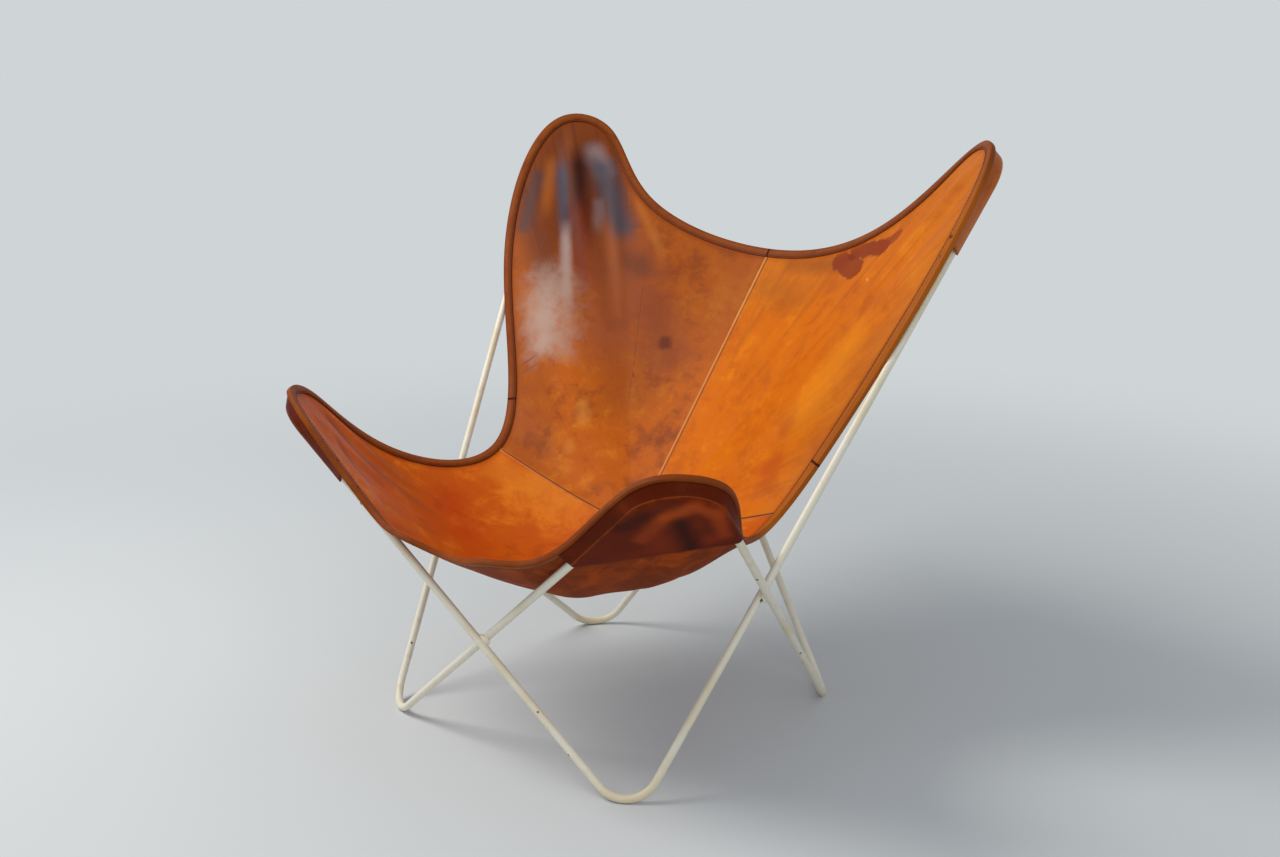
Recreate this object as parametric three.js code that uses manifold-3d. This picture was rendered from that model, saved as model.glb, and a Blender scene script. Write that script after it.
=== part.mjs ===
// A butterfly sling chair: two closed loops of bent steel rod, welded where they cross, carry a leather
// sling that hangs from them by four pockets. Sizes are in millimetres and +Z is up. The seat faces -Y,
// and left and right are as seen from the front, so right is +X. The origin is on the floor, under the
// middle of the chair's outline.

import * as THREE from 'three';
import { mergeVertices } from 'three/addons/utils/BufferGeometryUtils.js';
import Module from 'manifold-3d';

const wasm = await Module();
wasm.setup();

// Rod frame: the corners are where the straight rods would meet if the bends were sharp
const ROD_DIAMETER = 12;
const CROSSING_GAP = 0.6;
const FRONT_FOOT_X = 260;
const BACK_FOOT_X = 245.7;
const FOOT_Y = 249.5;
const LOW_TIP_X = 430.5;
const LOW_TIP_Y = 341.5;
const LOW_TIP_Z = 558.5;
const HIGH_TIP_X = 483.5;
const HIGH_TIP_Y = 445.5;
const HIGH_TIP_Z = 981;
const FOOT_BEND_RADIUS = 50;
const LOW_BEND_RADIUS = 63.5;
const HIGH_BEND_RADIUS = 57.5;
const WORN_FLAT_DEPTH = 0.4;
const ROD_SIDES = 12;
const BEND_STEPS = 12;

// Weld beads: half sizes along the crossing's sharp angle, across it, and from rod to rod, and half the
// opening in a bead where the two rods are nearest to each other
const BEAD_HALF_LENGTH = 14;
const BEAD_HALF_WIDTH = 9;
const BEAD_HALF_HEIGHT = 6;
const BEAD_OPENING = 0.15;

// Leather, binding and the gap that touching pieces keep
const PIECE_GAP = 0.3;
const LEATHER_THICKNESS = 3.2;
const POCKET_THICKNESS = 2.4;
const BINDING_WALL = 1.4;
const BINDING_DEPTH = 13;
const BINDING_EASE = 0.45;
const BAND_MARGIN = 1;
const POCKET_INSET = 3.5;
const POCKET_EASE = 0.5;
const STRIP_WIDTH = 7;
const STRIP_THICKNESS = 1.6;
const STRIP_LIFT = 0.8;

// Edge of the leather between the tips: middle of the front, its quarter, side seam, middle of the back
const FRONT_EDGE_Y = 339;
const FRONT_EDGE_Z = 334;
const QUARTER_EDGE_X = 84;
const QUARTER_EDGE_Y = 354.5;
const QUARTER_EDGE_Z = 352;
const SIDE_EDGE_X = 294;
const SIDE_EDGE_Y = 41;
const SIDE_EDGE_Z = 364.5;
const BACK_EDGE_Y = 413.5;
const BACK_EDGE_Z = 676;

// Edge of the leather round a tip. Along is from the end of the bend, out is away from the rod's
// surface in the plane of the bend, and rise is from the rod's surface to the leather's underside.
const LOW_TIP = {
  rimOut: 13, rimRise: 9,
  innerAlong: 186, innerOut: 28, innerRise: 2,
  outerAlong: 122, outerOut: -9, outerRise: 20,
};
const HIGH_TIP = {
  rimOut: 9.4, rimRise: 11.8,
  innerAlong: 131, innerOut: 19.6, innerRise: 36,
  outerAlong: 231, outerOut: 10.4, outerRise: 5,
};
const RIM_SHARES = [0.12, 0.5, 0.88];

// Seat: the point where the three seams meet and the slope of the leather there
const SEAM_MEETING_Y = 58;
const SEAM_MEETING_Z = 285.5;
const SEAT_SLOPE_SHARE = 0.84;

// How round the leather hangs from that point to the edge: 0 is a taut line, over 1 a deep bowl
const ROUNDNESS_SHARES = {
  front: 0.75,
  quarter: 0.75,
  low: [1.05, 1.4, 1.7, 1.7, 1.7],
  side: 0.3,
  high: 0.25,
  back: 0.1,
};

// Soft lengthwise folds of the four lobes, their height from the mean surface and where they lie
const HIGH_FOLD_HEIGHT = 5;
const LOW_FOLD_HEIGHT = 3.5;
const FOLDS_PER_LOBE = 3;
const FOLD_START_SHARE = 0.42;
const FOLD_FULL_SHARE = 0.78;
const FOLD_FADE_SHARE = 0.92;

// Pockets: how far each reaches down its two rods from the ends of the bend
const LOW_RIGHT_POCKET = { inner: 155, outer: 77 };
const LOW_LEFT_POCKET = { inner: 100, outer: 77 };
const HIGH_POCKET = { inner: 95, outer: 110 };
const POCKET_STRAIGHT_STEPS = 4;
const POCKET_WRAP_STEPS = 5;
const POCKET_PANEL_SHARES = [0.3, 0.65];

// Rows of the leather from the seams' meeting point to the edge band, and columns per stretch of edge
const ROW_SHARES = [0, 0.07, 0.15, 0.25, 0.36, 0.48, 0.6, 0.71, 0.81, 0.9, 1];
const COLUMN_STEPS = [2, 4, 4, 4, 4, 3, 5, 6, 6, 5, 5, 5, 5];
const BINDING_JOINT_COLUMNS = 2;

const ROD_RADIUS = ROD_DIAMETER / 2;
const LOOP_SHIFT = (ROD_DIAMETER + CROSSING_GAP) / 2;
const SEAM_MEETING = new THREE.Vector3(0, SEAM_MEETING_Y, SEAM_MEETING_Z);

const paint = new THREE.MeshStandardMaterial({ color: 0xd9d3bd, roughness: 0.42, metalness: 0 });
const seatLeather = new THREE.MeshStandardMaterial({ color: 0xb4601c, roughness: 0.45, metalness: 0 });
const backLeather = new THREE.MeshStandardMaterial({ color: 0xb56a2a, roughness: 0.42, metalness: 0 });
const pocketLeather = new THREE.MeshStandardMaterial({ color: 0xa3511b, roughness: 0.5, metalness: 0 });
const bindingLeather = new THREE.MeshStandardMaterial({ color: 0x8a4c20, roughness: 0.48, metalness: 0 });
const seamLeather = new THREE.MeshStandardMaterial({ color: 0xc98440, roughness: 0.45, metalness: 0 });

// Small vector steps
const along = (from, direction, distance) => from.clone().addScaledVector(direction, distance);
const unitBetween = (from, to) => to.clone().sub(from).normalize();
const smooth = (low, high, value) => THREE.MathUtils.smoothstep(value, low, high);

// A closed geometry from points and triangles, with its faces turned outwards
function closedGeometry(points, triangles) {
  const volume = triangles.reduce((sum, [a, b, c]) => {
    return sum + points[a].dot(points[b].clone().cross(points[c]));
  }, 0);
  const turned = triangles.map(([a, b, c]) => (volume > 0 ? [a, b, c] : [a, c, b]));
  const geometry = new THREE.BufferGeometry();
  geometry.setAttribute('position', new THREE.Float32BufferAttribute(points.flatMap((p) => p.toArray()), 3));
  geometry.setIndex(turned.flat());
  return geometry;
}

// Solids for joining and cutting, and back
function toSolid(geometry) {
  const bare = geometry.clone();
  bare.deleteAttribute('normal');
  bare.deleteAttribute('uv');
  const merged = mergeVertices(bare);
  return new wasm.Manifold(new wasm.Mesh({
    numProp: 3,
    vertProperties: new Float32Array(merged.attributes.position.array),
    triVerts: new Uint32Array(merged.index.array),
  }));
}

function fromSolid(solid) {
  const mesh = solid.getMesh();
  const geometry = new THREE.BufferGeometry();
  geometry.setAttribute('position', new THREE.BufferAttribute(mesh.vertProperties, 3));
  geometry.setIndex(new THREE.BufferAttribute(mesh.triVerts, 1));
  return geometry;
}

// A bend that rounds the corner between two straight rods
function bendAt(corner, from, to, radius) {
  const toStart = unitBetween(corner, from);
  const toEnd = unitBetween(corner, to);
  const half = toStart.angleTo(toEnd) / 2;
  const bisector = toStart.clone().add(toEnd).normalize();
  const centre = along(corner, bisector, radius / Math.sin(half));
  const tangentLength = radius / Math.tan(half);
  const start = along(corner, toStart, tangentLength);
  const end = along(corner, toEnd, tangentLength);
  const normal = toStart.clone().cross(toEnd).normalize();
  const seatSide = SEAM_MEETING.clone().sub(corner).dot(normal) < 0 ? -1 : 1;
  return {
    centre, radius, start, end, toStart, toEnd,
    normal: normal.multiplyScalar(seatSide),
    startOut: unitBetween(centre, start),
    endOut: unitBetween(centre, end),
  };
}

// The outward direction at a share of the bend's arc
function outwardAt(bend, share) {
  const angle = bend.startOut.angleTo(bend.endOut);
  const first = bend.startOut.clone().multiplyScalar(Math.sin((1 - share) * angle));
  return first.addScaledVector(bend.endOut, Math.sin(share * angle)).normalize();
}

// The corners of one loop: side is +1 where its low tip is on the right. A foot's corner is set so
// low that the rod of its bend goes through the floor by the depth of the worn flat.
function loopCorners(side) {
  const shift = side * LOOP_SHIFT;
  const low = new THREE.Vector3(side * LOW_TIP_X, shift - LOW_TIP_Y, LOW_TIP_Z);
  const high = new THREE.Vector3(-side * HIGH_TIP_X, shift + HIGH_TIP_Y, HIGH_TIP_Z);
  const front = new THREE.Vector3(-side * FRONT_FOOT_X, shift - FOOT_Y, 0);
  const back = new THREE.Vector3(side * BACK_FOOT_X, shift + FOOT_Y, 0);
  for (const foot of [front, back]) {
    for (let round = 0; round < 30; round += 1) {
      const bend = bendAt(foot, low, high, FOOT_BEND_RADIUS);
      const reach = bend.radius * Math.sqrt(1 - bend.normal.z ** 2);
      foot.z += ROD_RADIUS - WORN_FLAT_DEPTH - (bend.centre.z - reach);
    }
  }
  return { low, front, high, back };
}

// Each loop's bends in the order that the rod runs. A tip's bend starts at its inner rod: the one
// to the front foot at a low tip, the one to the back foot at a high tip.
function loopBends(side) {
  const { low, front, high, back } = loopCorners(side);
  return {
    low: bendAt(low, front, back, LOW_BEND_RADIUS),
    front: bendAt(front, low, high, FOOT_BEND_RADIUS),
    high: bendAt(high, back, front, HIGH_BEND_RADIUS),
    back: bendAt(back, high, low, FOOT_BEND_RADIUS),
  };
}

const LOOPS = new Map([-1, 1].map((side) => [side, loopBends(side)]));

// Centre line of a closed loop: points with their directions, bend after bend
function loopPath(bends) {
  const turned = (bend) => ({ ...bend, startOut: bend.endOut, endOut: bend.startOut });
  const order = [turned(bends.low), bends.front, turned(bends.high), bends.back];
  const path = [];
  for (const bend of order) {
    for (let step = 0; step <= BEND_STEPS; step += 1) {
      const out = outwardAt(bend, step / BEND_STEPS);
      const ahead = out.clone().cross(bend.startOut.clone().cross(bend.endOut)).negate().normalize();
      path.push({ point: along(bend.centre, out, bend.radius), ahead });
    }
  }
  return path;
}

// A round rod along a closed path. Its section is carried along without twist, and what is left at
// the closing is shared out over the bends.
function closedRod(path) {
  const count = path.length;
  const across = [new THREE.Vector3().crossVectors(path[0].ahead, new THREE.Vector3(0, 0, 1)).normalize()];
  const turn = new THREE.Quaternion();
  for (let i = 1; i <= count; i += 1) {
    turn.setFromUnitVectors(path[i - 1].ahead, path[i % count].ahead);
    across.push(across[i - 1].clone().applyQuaternion(turn).normalize());
  }
  const ahead = path[0].ahead;
  const closing = Math.atan2(across[count].clone().cross(across[0]).dot(ahead), across[count].dot(across[0]));
  const sideAngle = 2 * Math.PI / ROD_SIDES;
  const skipped = Math.round(closing / sideAngle);
  const points = [];
  path.forEach(({ point, ahead: direction }, i) => {
    const extra = (closing - skipped * sideAngle) * i / count;
    for (let k = 0; k < ROD_SIDES; k += 1) {
      const out = across[i].clone().applyAxisAngle(direction, extra + k * sideAngle);
      points.push(along(point, out, ROD_RADIUS));
    }
  });
  const triangles = [];
  for (let i = 0; i < count; i += 1) {
    const next = (i + 1) % count;
    const offset = next === 0 ? -skipped + ROD_SIDES : 0;
    for (let k = 0; k < ROD_SIDES; k += 1) {
      const a = i * ROD_SIDES + k;
      const b = i * ROD_SIDES + (k + 1) % ROD_SIDES;
      const c = next * ROD_SIDES + (k + offset) % ROD_SIDES;
      const d = next * ROD_SIDES + (k + 1 + offset) % ROD_SIDES;
      triangles.push([a, b, d], [a, d, c]);
    }
  }
  return closedGeometry(points, triangles);
}

// One loop of the frame, worn flat where its feet meet the floor
function frameLoop(side) {
  const rod = toSolid(closedRod(loopPath(LOOPS.get(side))));
  const ground = new THREE.BoxGeometry(4 * HIGH_TIP_X, 4 * HIGH_TIP_Y, HIGH_TIP_Z);
  ground.translate(0, 0, -HIGH_TIP_Z / 2);
  return fromSolid(rod.subtract(toSolid(ground)));
}

// The straight rods by name: from the bend that each leaves to its direction
function straightRod(side, name) {
  const { low, high } = LOOPS.get(side);
  return {
    lowFront: { start: low.start, direction: low.toStart },
    lowBack: { start: low.end, direction: low.toEnd },
    highBack: { start: high.start, direction: high.toStart },
    highFront: { start: high.end, direction: high.toEnd },
  }[name];
}

// Nearest points of two straight rods
function crossing(first, second) {
  const between = second.start.clone().sub(first.start);
  const cosine = first.direction.dot(second.direction);
  const sineSquared = 1 - cosine ** 2;
  const onFirst = (between.dot(first.direction) - cosine * between.dot(second.direction)) / sineSquared;
  const onSecond = (cosine * between.dot(first.direction) - between.dot(second.direction)) / sineSquared;
  return [along(first.start, first.direction, onFirst), along(second.start, second.direction, onSecond)];
}

// A weld bead: a flat oval lump in the crossing, cut to the two rods
function weldBead(first, second) {
  const [pointA, pointB] = crossing(first, second);
  const height = unitBetween(pointA, pointB);
  const opposed = first.direction.dot(second.direction) < 0 ? -1 : 1;
  const length = first.direction.clone().addScaledVector(second.direction, opposed).normalize();
  const width = height.clone().cross(length);
  const middle = pointA.clone().add(pointB).divideScalar(2);
  const bead = new THREE.SphereGeometry(1, 12, 8);
  bead.scale(BEAD_HALF_LENGTH, BEAD_HALF_WIDTH, BEAD_HALF_HEIGHT);
  bead.applyMatrix4(new THREE.Matrix4().makeBasis(length, width, height).setPosition(middle));
  const cutRadius = (pointA.distanceTo(pointB) / 2 + BEAD_OPENING) / Math.cos(Math.PI / ROD_SIDES);
  let solid = toSolid(bead);
  [[pointA, first], [pointB, second]].forEach(([point, rod]) => {
    const cutter = new THREE.CylinderGeometry(cutRadius, cutRadius, 4 * BEAD_HALF_LENGTH, ROD_SIDES);
    const turn = new THREE.Quaternion().setFromUnitVectors(new THREE.Vector3(0, 1, 0), rod.direction);
    cutter.applyQuaternion(turn).translate(point.x, point.y, point.z);
    solid = solid.subtract(toSolid(cutter));
  });
  return fromSolid(solid);
}

// The leather's edge round one tip, from its inner rod to its outer rod
function tipEdge(bend, tip) {
  const rise = ROD_RADIUS + LEATHER_THICKNESS / 2;
  const beside = (end, direction, out, reach, away, up) => {
    const point = along(along(end, direction, reach), out, ROD_RADIUS + away);
    return along(point, bend.normal, rise + up);
  };
  const rim = RIM_SHARES.map((share) => {
    const onRim = along(bend.centre, outwardAt(bend, share), bend.radius + ROD_RADIUS + tip.rimOut);
    return along(onRim, bend.normal, rise + tip.rimRise);
  });
  return [
    beside(bend.start, bend.toStart, bend.startOut, tip.innerAlong, tip.innerOut, tip.innerRise),
    ...rim,
    beside(bend.end, bend.toEnd, bend.endOut, tip.outerAlong, tip.outerOut, tip.outerRise),
  ];
}

// The points that the leather's edge goes through, once round from the middle of the front, with the
// roundness of the hang at each
function edgePoints() {
  const half = (side) => {
    const low = tipEdge(LOOPS.get(side).low, LOW_TIP);
    const high = tipEdge(LOOPS.get(-side).high, HIGH_TIP);
    return [
      [new THREE.Vector3(side * QUARTER_EDGE_X, -QUARTER_EDGE_Y, QUARTER_EDGE_Z), ROUNDNESS_SHARES.quarter],
      ...low.map((point, i) => [point, ROUNDNESS_SHARES.low[i]]),
      [new THREE.Vector3(side * SIDE_EDGE_X, SIDE_EDGE_Y, SIDE_EDGE_Z), ROUNDNESS_SHARES.side],
      ...high.reverse().map((point) => [point, ROUNDNESS_SHARES.high]),
    ];
  };
  const front = [new THREE.Vector3(0, -FRONT_EDGE_Y, FRONT_EDGE_Z), ROUNDNESS_SHARES.front];
  const back = [new THREE.Vector3(0, BACK_EDGE_Y, BACK_EDGE_Z), ROUNDNESS_SHARES.back];
  return [front, ...half(1), back, ...half(-1).reverse()];
}

// A smooth closed curve through points: a cubic spline whose knots are spaced by the square root of
// the distance between points
function closedSpline(points) {
  const count = points.length;
  const at = (list, i) => list[(i + count) % count];
  const steps = points.map((point, i) => Math.sqrt(point.distanceTo(at(points, i + 1))));
  const knots = steps.reduce((sums, step) => [...sums, sums[sums.length - 1] + step], [0]);
  const slope = (i) => at(points, i + 1).clone().sub(at(points, i)).divideScalar(at(steps, i));
  const bends = points.map(() => new THREE.Vector3());
  for (let round = 0; round < 80; round += 1) {
    points.forEach((_, i) => {
      const before = at(steps, i - 1);
      const after = at(steps, i);
      const change = slope(i).sub(slope(i - 1)).multiplyScalar(6);
      change.addScaledVector(at(bends, i - 1), -before).addScaledVector(at(bends, i + 1), -after);
      bends[i].copy(change.divideScalar(2 * (before + after)));
    });
  }
  const pointAt = (position) => {
    const i = Math.min(count - 1, knots.findLastIndex((knot) => knot <= position));
    const step = steps[i];
    const left = knots[i + 1] - position;
    const right = position - knots[i];
    return new THREE.Vector3()
      .addScaledVector(bends[i], left ** 3 / (6 * step) - step * left / 6)
      .addScaledVector(at(bends, i + 1), right ** 3 / (6 * step) - step * right / 6)
      .addScaledVector(points[i], left / step)
      .addScaledVector(at(points, i + 1), right / step);
  };
  return { knots, pointAt };
}

const EDGE_POINTS = edgePoints();
const EDGE = closedSpline(EDGE_POINTS.map(([point]) => point));
const EDGE_LENGTH = EDGE.knots[EDGE.knots.length - 1];
const wrapped = (position) => THREE.MathUtils.euclideanModulo(position, EDGE_LENGTH);

// The roundness of the hang at a place on the edge
function roundnessAt(position) {
  const i = EDGE.knots.findLastIndex((knot) => knot <= position);
  const share = (position - EDGE.knots[i]) / (EDGE.knots[i + 1] - EDGE.knots[i]);
  const [before, after] = [i, i + 1].map((k) => EDGE_POINTS[k % EDGE_POINTS.length][1]);
  return THREE.MathUtils.lerp(before, after, smooth(0, 1, share));
}

// The leather between the seams' meeting point and a point of its rim. Seen from above it runs
// straight out. Its height leaves at the seat's slope and bends up to the rim.
function hang(rim, share, roundness) {
  const reach = Math.sqrt(share ** 2 + roundness ** 2) - roundness;
  const full = Math.sqrt(1 + roundness ** 2) - roundness;
  const sloped = SEAT_SLOPE_SHARE * (rim.y - SEAM_MEETING_Y);
  const point = SEAM_MEETING.clone().lerp(rim, share);
  point.z = SEAM_MEETING_Z + sloped * share + (rim.z - SEAM_MEETING_Z - sloped) * reach / full;
  return point;
}

// Frame of the edge at a place: inward lies in the leather, and up points to the sitter's side
function edgeFrame(position) {
  const place = wrapped(position);
  const step = EDGE_LENGTH / 2000;
  const edge = EDGE.pointAt(place);
  const ahead = unitBetween(EDGE.pointAt(wrapped(place - step)), EDGE.pointAt(wrapped(place + step)));
  const roundness = roundnessAt(place);
  const inward = hang(edge, 1 - 1 / 50, roundness).sub(edge);
  inward.addScaledVector(ahead, -inward.dot(ahead)).normalize();
  const up = ahead.clone().cross(inward).normalize();
  const rim = along(edge, inward, BINDING_DEPTH + BAND_MARGIN);
  return { place, edge, ahead, inward, up, roundness, rim };
}

// Which lobe a place on the edge belongs to, and how far across it the place lies
function lobeAt(place) {
  const lobes = [1, -1].flatMap((side) => {
    const at = (i) => (side > 0 ? i : EDGE_POINTS.length - i);
    const low = { from: at(2), to: at(6), bend: LOOPS.get(side).low, height: LOW_FOLD_HEIGHT };
    const high = { from: at(8), to: at(12), bend: LOOPS.get(-side).high, height: HIGH_FOLD_HEIGHT };
    return [low, high];
  });
  const shareOf = ({ from, to }) => (place - EDGE.knots[from]) / (EDGE.knots[to] - EDGE.knots[from]);
  const lobe = lobes.find((item) => shareOf(item) > 0 && shareOf(item) < 1);
  return lobe ? { ...lobe, across: shareOf(lobe) } : null;
}

// A point of the leather's middle surface: the hang, and the folds that run down each lobe
function leatherPoint(frame, share) {
  const point = hang(frame.rim, share, frame.roundness);
  const lobe = lobeAt(frame.place);
  if (!lobe) {
    return point;
  }
  const rise = smooth(FOLD_START_SHARE, FOLD_FULL_SHARE, share) * (1 - smooth(FOLD_FADE_SHARE, 1, share));
  const wave = Math.cos(2 * Math.PI * FOLDS_PER_LOBE * lobe.across) * Math.sin(Math.PI * lobe.across) ** 2;
  return along(point, lobe.bend.normal, -lobe.height * rise * wave);
}

// Columns of the leather's grid, once round, with the places of the seams and joints among them
function columnPlaces() {
  const stretches = [...COLUMN_STEPS, ...COLUMN_STEPS.toReversed()];
  return stretches.flatMap((steps, i) => Array.from({ length: steps }, (_, k) => {
    return THREE.MathUtils.lerp(EDGE.knots[i], EDGE.knots[i + 1], k / steps);
  }));
}

const FRAMES = columnPlaces().map(edgeFrame);
const HALF_COLUMNS = FRAMES.length / 2;
const SIDE_COLUMN = COLUMN_STEPS.slice(0, 7).reduce((sum, steps) => sum + steps, 0);

// Unit normals of a grid of points whose rows are closed, from the neighbours on both sides
function gridNormals(rows) {
  return rows.map((row, i) => row.map((_, k) => {
    const outward = rows[Math.min(i + 1, rows.length - 1)][k].clone().sub(rows[Math.max(i - 1, 0)][k]);
    const around = row[(k + 1) % row.length].clone().sub(row[(k - 1 + row.length) % row.length]);
    return around.cross(outward).normalize();
  }));
}

// The whole sling's middle surface: rows from the seams' meeting point to the edge, columns once round
const LEATHER = [
  ...ROW_SHARES.map((share) => FRAMES.map((frame) => leatherPoint(frame, share))),
  FRAMES.map((frame) => frame.edge),
];

// Its unit normals on the sitter's side, one shared by the meeting point, and the edge frames' in the band
function leatherNormals() {
  const normals = gridNormals(LEATHER);
  const towardsSitter = normals[1][0].z < 0 ? -1 : 1;
  const turned = normals.map((row) => row.map((normal) => normal.multiplyScalar(towardsSitter)));
  const meeting = turned[1].reduce((sum, normal) => sum.add(normal), new THREE.Vector3()).normalize();
  turned[0] = turned[0].map(() => meeting);
  const bandRows = [turned.length - 2, turned.length - 1];
  bandRows.forEach((i) => {
    turned[i] = FRAMES.map((frame) => frame.up);
  });
  return turned;
}

const LEATHER_NORMALS = leatherNormals();

// A closed sheet round a grid of points. All points of the first row may be one point.
function sheet(rows, normals, thickness) {
  const height = rows.length;
  const width = rows[0].length;
  const hasPole = rows[0].every((point) => point.distanceTo(rows[0][0]) === 0);
  const points = [1, -1].flatMap((side) => rows.flatMap((row, i) => row.map((point, k) => {
    return along(point, normals[i][k], side * thickness / 2);
  })));
  const index = (side, i, k) => side * width * height + i * width + (hasPole && i === 0 ? 0 : k);
  const triangles = [];
  const quad = (a, b, c, d) => {
    [[a, b, c], [a, c, d]].forEach((corners) => {
      if (new Set(corners).size === 3) {
        triangles.push(corners);
      }
    });
  };
  for (let i = 0; i < height - 1; i += 1) {
    for (let k = 0; k < width - 1; k += 1) {
      quad(index(0, i, k), index(0, i + 1, k), index(0, i + 1, k + 1), index(0, i, k + 1));
      quad(index(1, i, k), index(1, i, k + 1), index(1, i + 1, k + 1), index(1, i + 1, k));
    }
    quad(index(0, i, 0), index(1, i, 0), index(1, i + 1, 0), index(0, i + 1, 0));
    const last = width - 1;
    quad(index(0, i, last), index(0, i + 1, last), index(1, i + 1, last), index(1, i, last));
  }
  for (let k = 0; k < width - 1; k += 1) {
    quad(index(0, 0, k), index(0, 0, k + 1), index(1, 0, k + 1), index(1, 0, k));
    const end = height - 1;
    quad(index(1, end, k), index(1, end, k + 1), index(0, end, k + 1), index(0, end, k));
  }
  return closedGeometry(points, triangles);
}

// One of the three panels: the columns from one seam to the next, moved off the seams by half a gap
function leatherPanel(firstColumn, columnCount, offX, offY) {
  const pick = (row) => Array.from({ length: columnCount + 1 }, (_, k) => row[(firstColumn + k) % row.length]);
  const panel = sheet(LEATHER.map(pick), LEATHER_NORMALS.map(pick), LEATHER_THICKNESS);
  return panel.translate(offX * PIECE_GAP / 2, offY * PIECE_GAP / 2, 0);
}

// A solid along stations, each a point with two directions that a flat outline is drawn in
function sweptOutline(stations, outline) {
  const count = outline.length;
  const points = stations.flatMap(({ point, first, second }) => outline.map(([a, b]) => {
    return along(along(point, first, a), second, b);
  }));
  const triangles = [];
  for (let i = 0; i < stations.length - 1; i += 1) {
    for (let k = 0; k < count; k += 1) {
      const a = i * count + k;
      const b = i * count + (k + 1) % count;
      const leansBack = outline[k][0] < outline[(k + 1) % count][0];
      triangles.push([a, b, leansBack ? a + count : b + count]);
      triangles.push([leansBack ? b : a, b + count, a + count]);
    }
  }
  const flat = outline.map(([a, b]) => new THREE.Vector2(a, b));
  const end = (stations.length - 1) * count;
  THREE.ShapeUtils.triangulateShape(flat, []).forEach(([a, b, c]) => {
    triangles.push([c, b, a], [a + end, b + end, c + end]);
  });
  return closedGeometry(points, triangles);
}

// A length of the folded binding that grips the leather's edge from both sides
function binding(firstColumn, columnCount) {
  const inside = LEATHER_THICKNESS / 2 + BINDING_EASE;
  const outside = inside + BINDING_WALL;
  const fold = PIECE_GAP + BINDING_WALL;
  const outline = [
    [BINDING_DEPTH, outside], [-PIECE_GAP, outside], [-fold, inside / 2], [-fold, -inside / 2],
    [-PIECE_GAP, -outside], [BINDING_DEPTH, -outside], [BINDING_DEPTH, -inside],
    [-PIECE_GAP, -inside], [-PIECE_GAP, inside], [BINDING_DEPTH, inside],
  ];
  const stations = Array.from({ length: columnCount + 1 }, (_, k) => {
    const { edge, ahead, inward, up } = FRAMES[(firstColumn + k) % FRAMES.length];
    const fromEnd = (k === 0 ? 1 : 0) - (k === columnCount ? 1 : 0);
    return { point: along(edge, ahead, fromEnd * PIECE_GAP / 2), first: inward, second: up };
  });
  return sweptOutline(stations, outline);
}

// The raised strip that covers a seam, from just off the seams' meeting point to the edge band
function seamStrip(column) {
  const lift = LEATHER_THICKNESS / 2 + STRIP_LIFT;
  const half = STRIP_WIDTH / 2;
  const outline = [[-half, 0], [half, 0], [half / 2, STRIP_THICKNESS], [-half / 2, STRIP_THICKNESS]];
  const rows = ROW_SHARES.map((_, i) => i).slice(1);
  const stations = rows.map((i) => {
    const middle = LEATHER[i][column];
    const up = LEATHER_NORMALS[i][column];
    const across = unitBetween(LEATHER[i - 1][column], middle).cross(up).normalize();
    return { point: along(middle, up, lift), first: across, second: up };
  });
  return sweptOutline(stations, outline);
}

// How far a point lies along a bent rod: below zero on its inner straight, above the length of the
// bend on its outer straight
function travelOf(bend, point) {
  const out = point.clone().sub(bend.centre);
  out.addScaledVector(bend.normal, -out.dot(bend.normal));
  const isInner = out.dot(bend.startOut) > out.dot(bend.endOut);
  const pastStart = point.clone().sub(bend.start).dot(bend.toStart);
  const pastEnd = point.clone().sub(bend.end).dot(bend.toEnd);
  if (isInner && pastStart > 0) {
    return -pastStart;
  }
  const bendLength = bend.radius * bend.startOut.angleTo(bend.endOut);
  if (!isInner && pastEnd > 0) {
    return bendLength + pastEnd;
  }
  return bend.radius * out.angleTo(bend.startOut);
}

// Centre and outward direction of a bent rod after a given travel
function rodAt(bend, travel) {
  const bendLength = bend.radius * bend.startOut.angleTo(bend.endOut);
  if (travel < 0) {
    return { centre: along(bend.start, bend.toStart, -travel), out: bend.startOut };
  }
  if (travel > bendLength) {
    return { centre: along(bend.end, bend.toEnd, travel - bendLength), out: bend.endOut };
  }
  const out = outwardAt(bend, travel / bendLength);
  return { centre: along(bend.centre, out, bend.radius), out };
}

// Where a pocket's outer edge is sewn on: under the binding, a little way in from the leather's edge
function pocketStart(frame) {
  const binding = BINDING_EASE + BINDING_WALL + PIECE_GAP;
  const drop = (LEATHER_THICKNESS + POCKET_THICKNESS) / 2 + binding;
  return along(along(frame.edge, frame.inward, POCKET_INSET), frame.up, -drop);
}

// The pocket's sewn edge beside the rod after a given travel, sought between two places on the edge
function pocketStartAt(bend, inner, outer, travel) {
  let [near, far] = [inner, outer];
  for (let round = 0; round < 40; round += 1) {
    const middle = (near + far) / 2;
    const reached = travelOf(bend, pocketStart(edgeFrame(middle)));
    [near, far] = reached < travel ? [middle, far] : [near, middle];
  }
  return pocketStart(edgeFrame(near));
}

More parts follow.
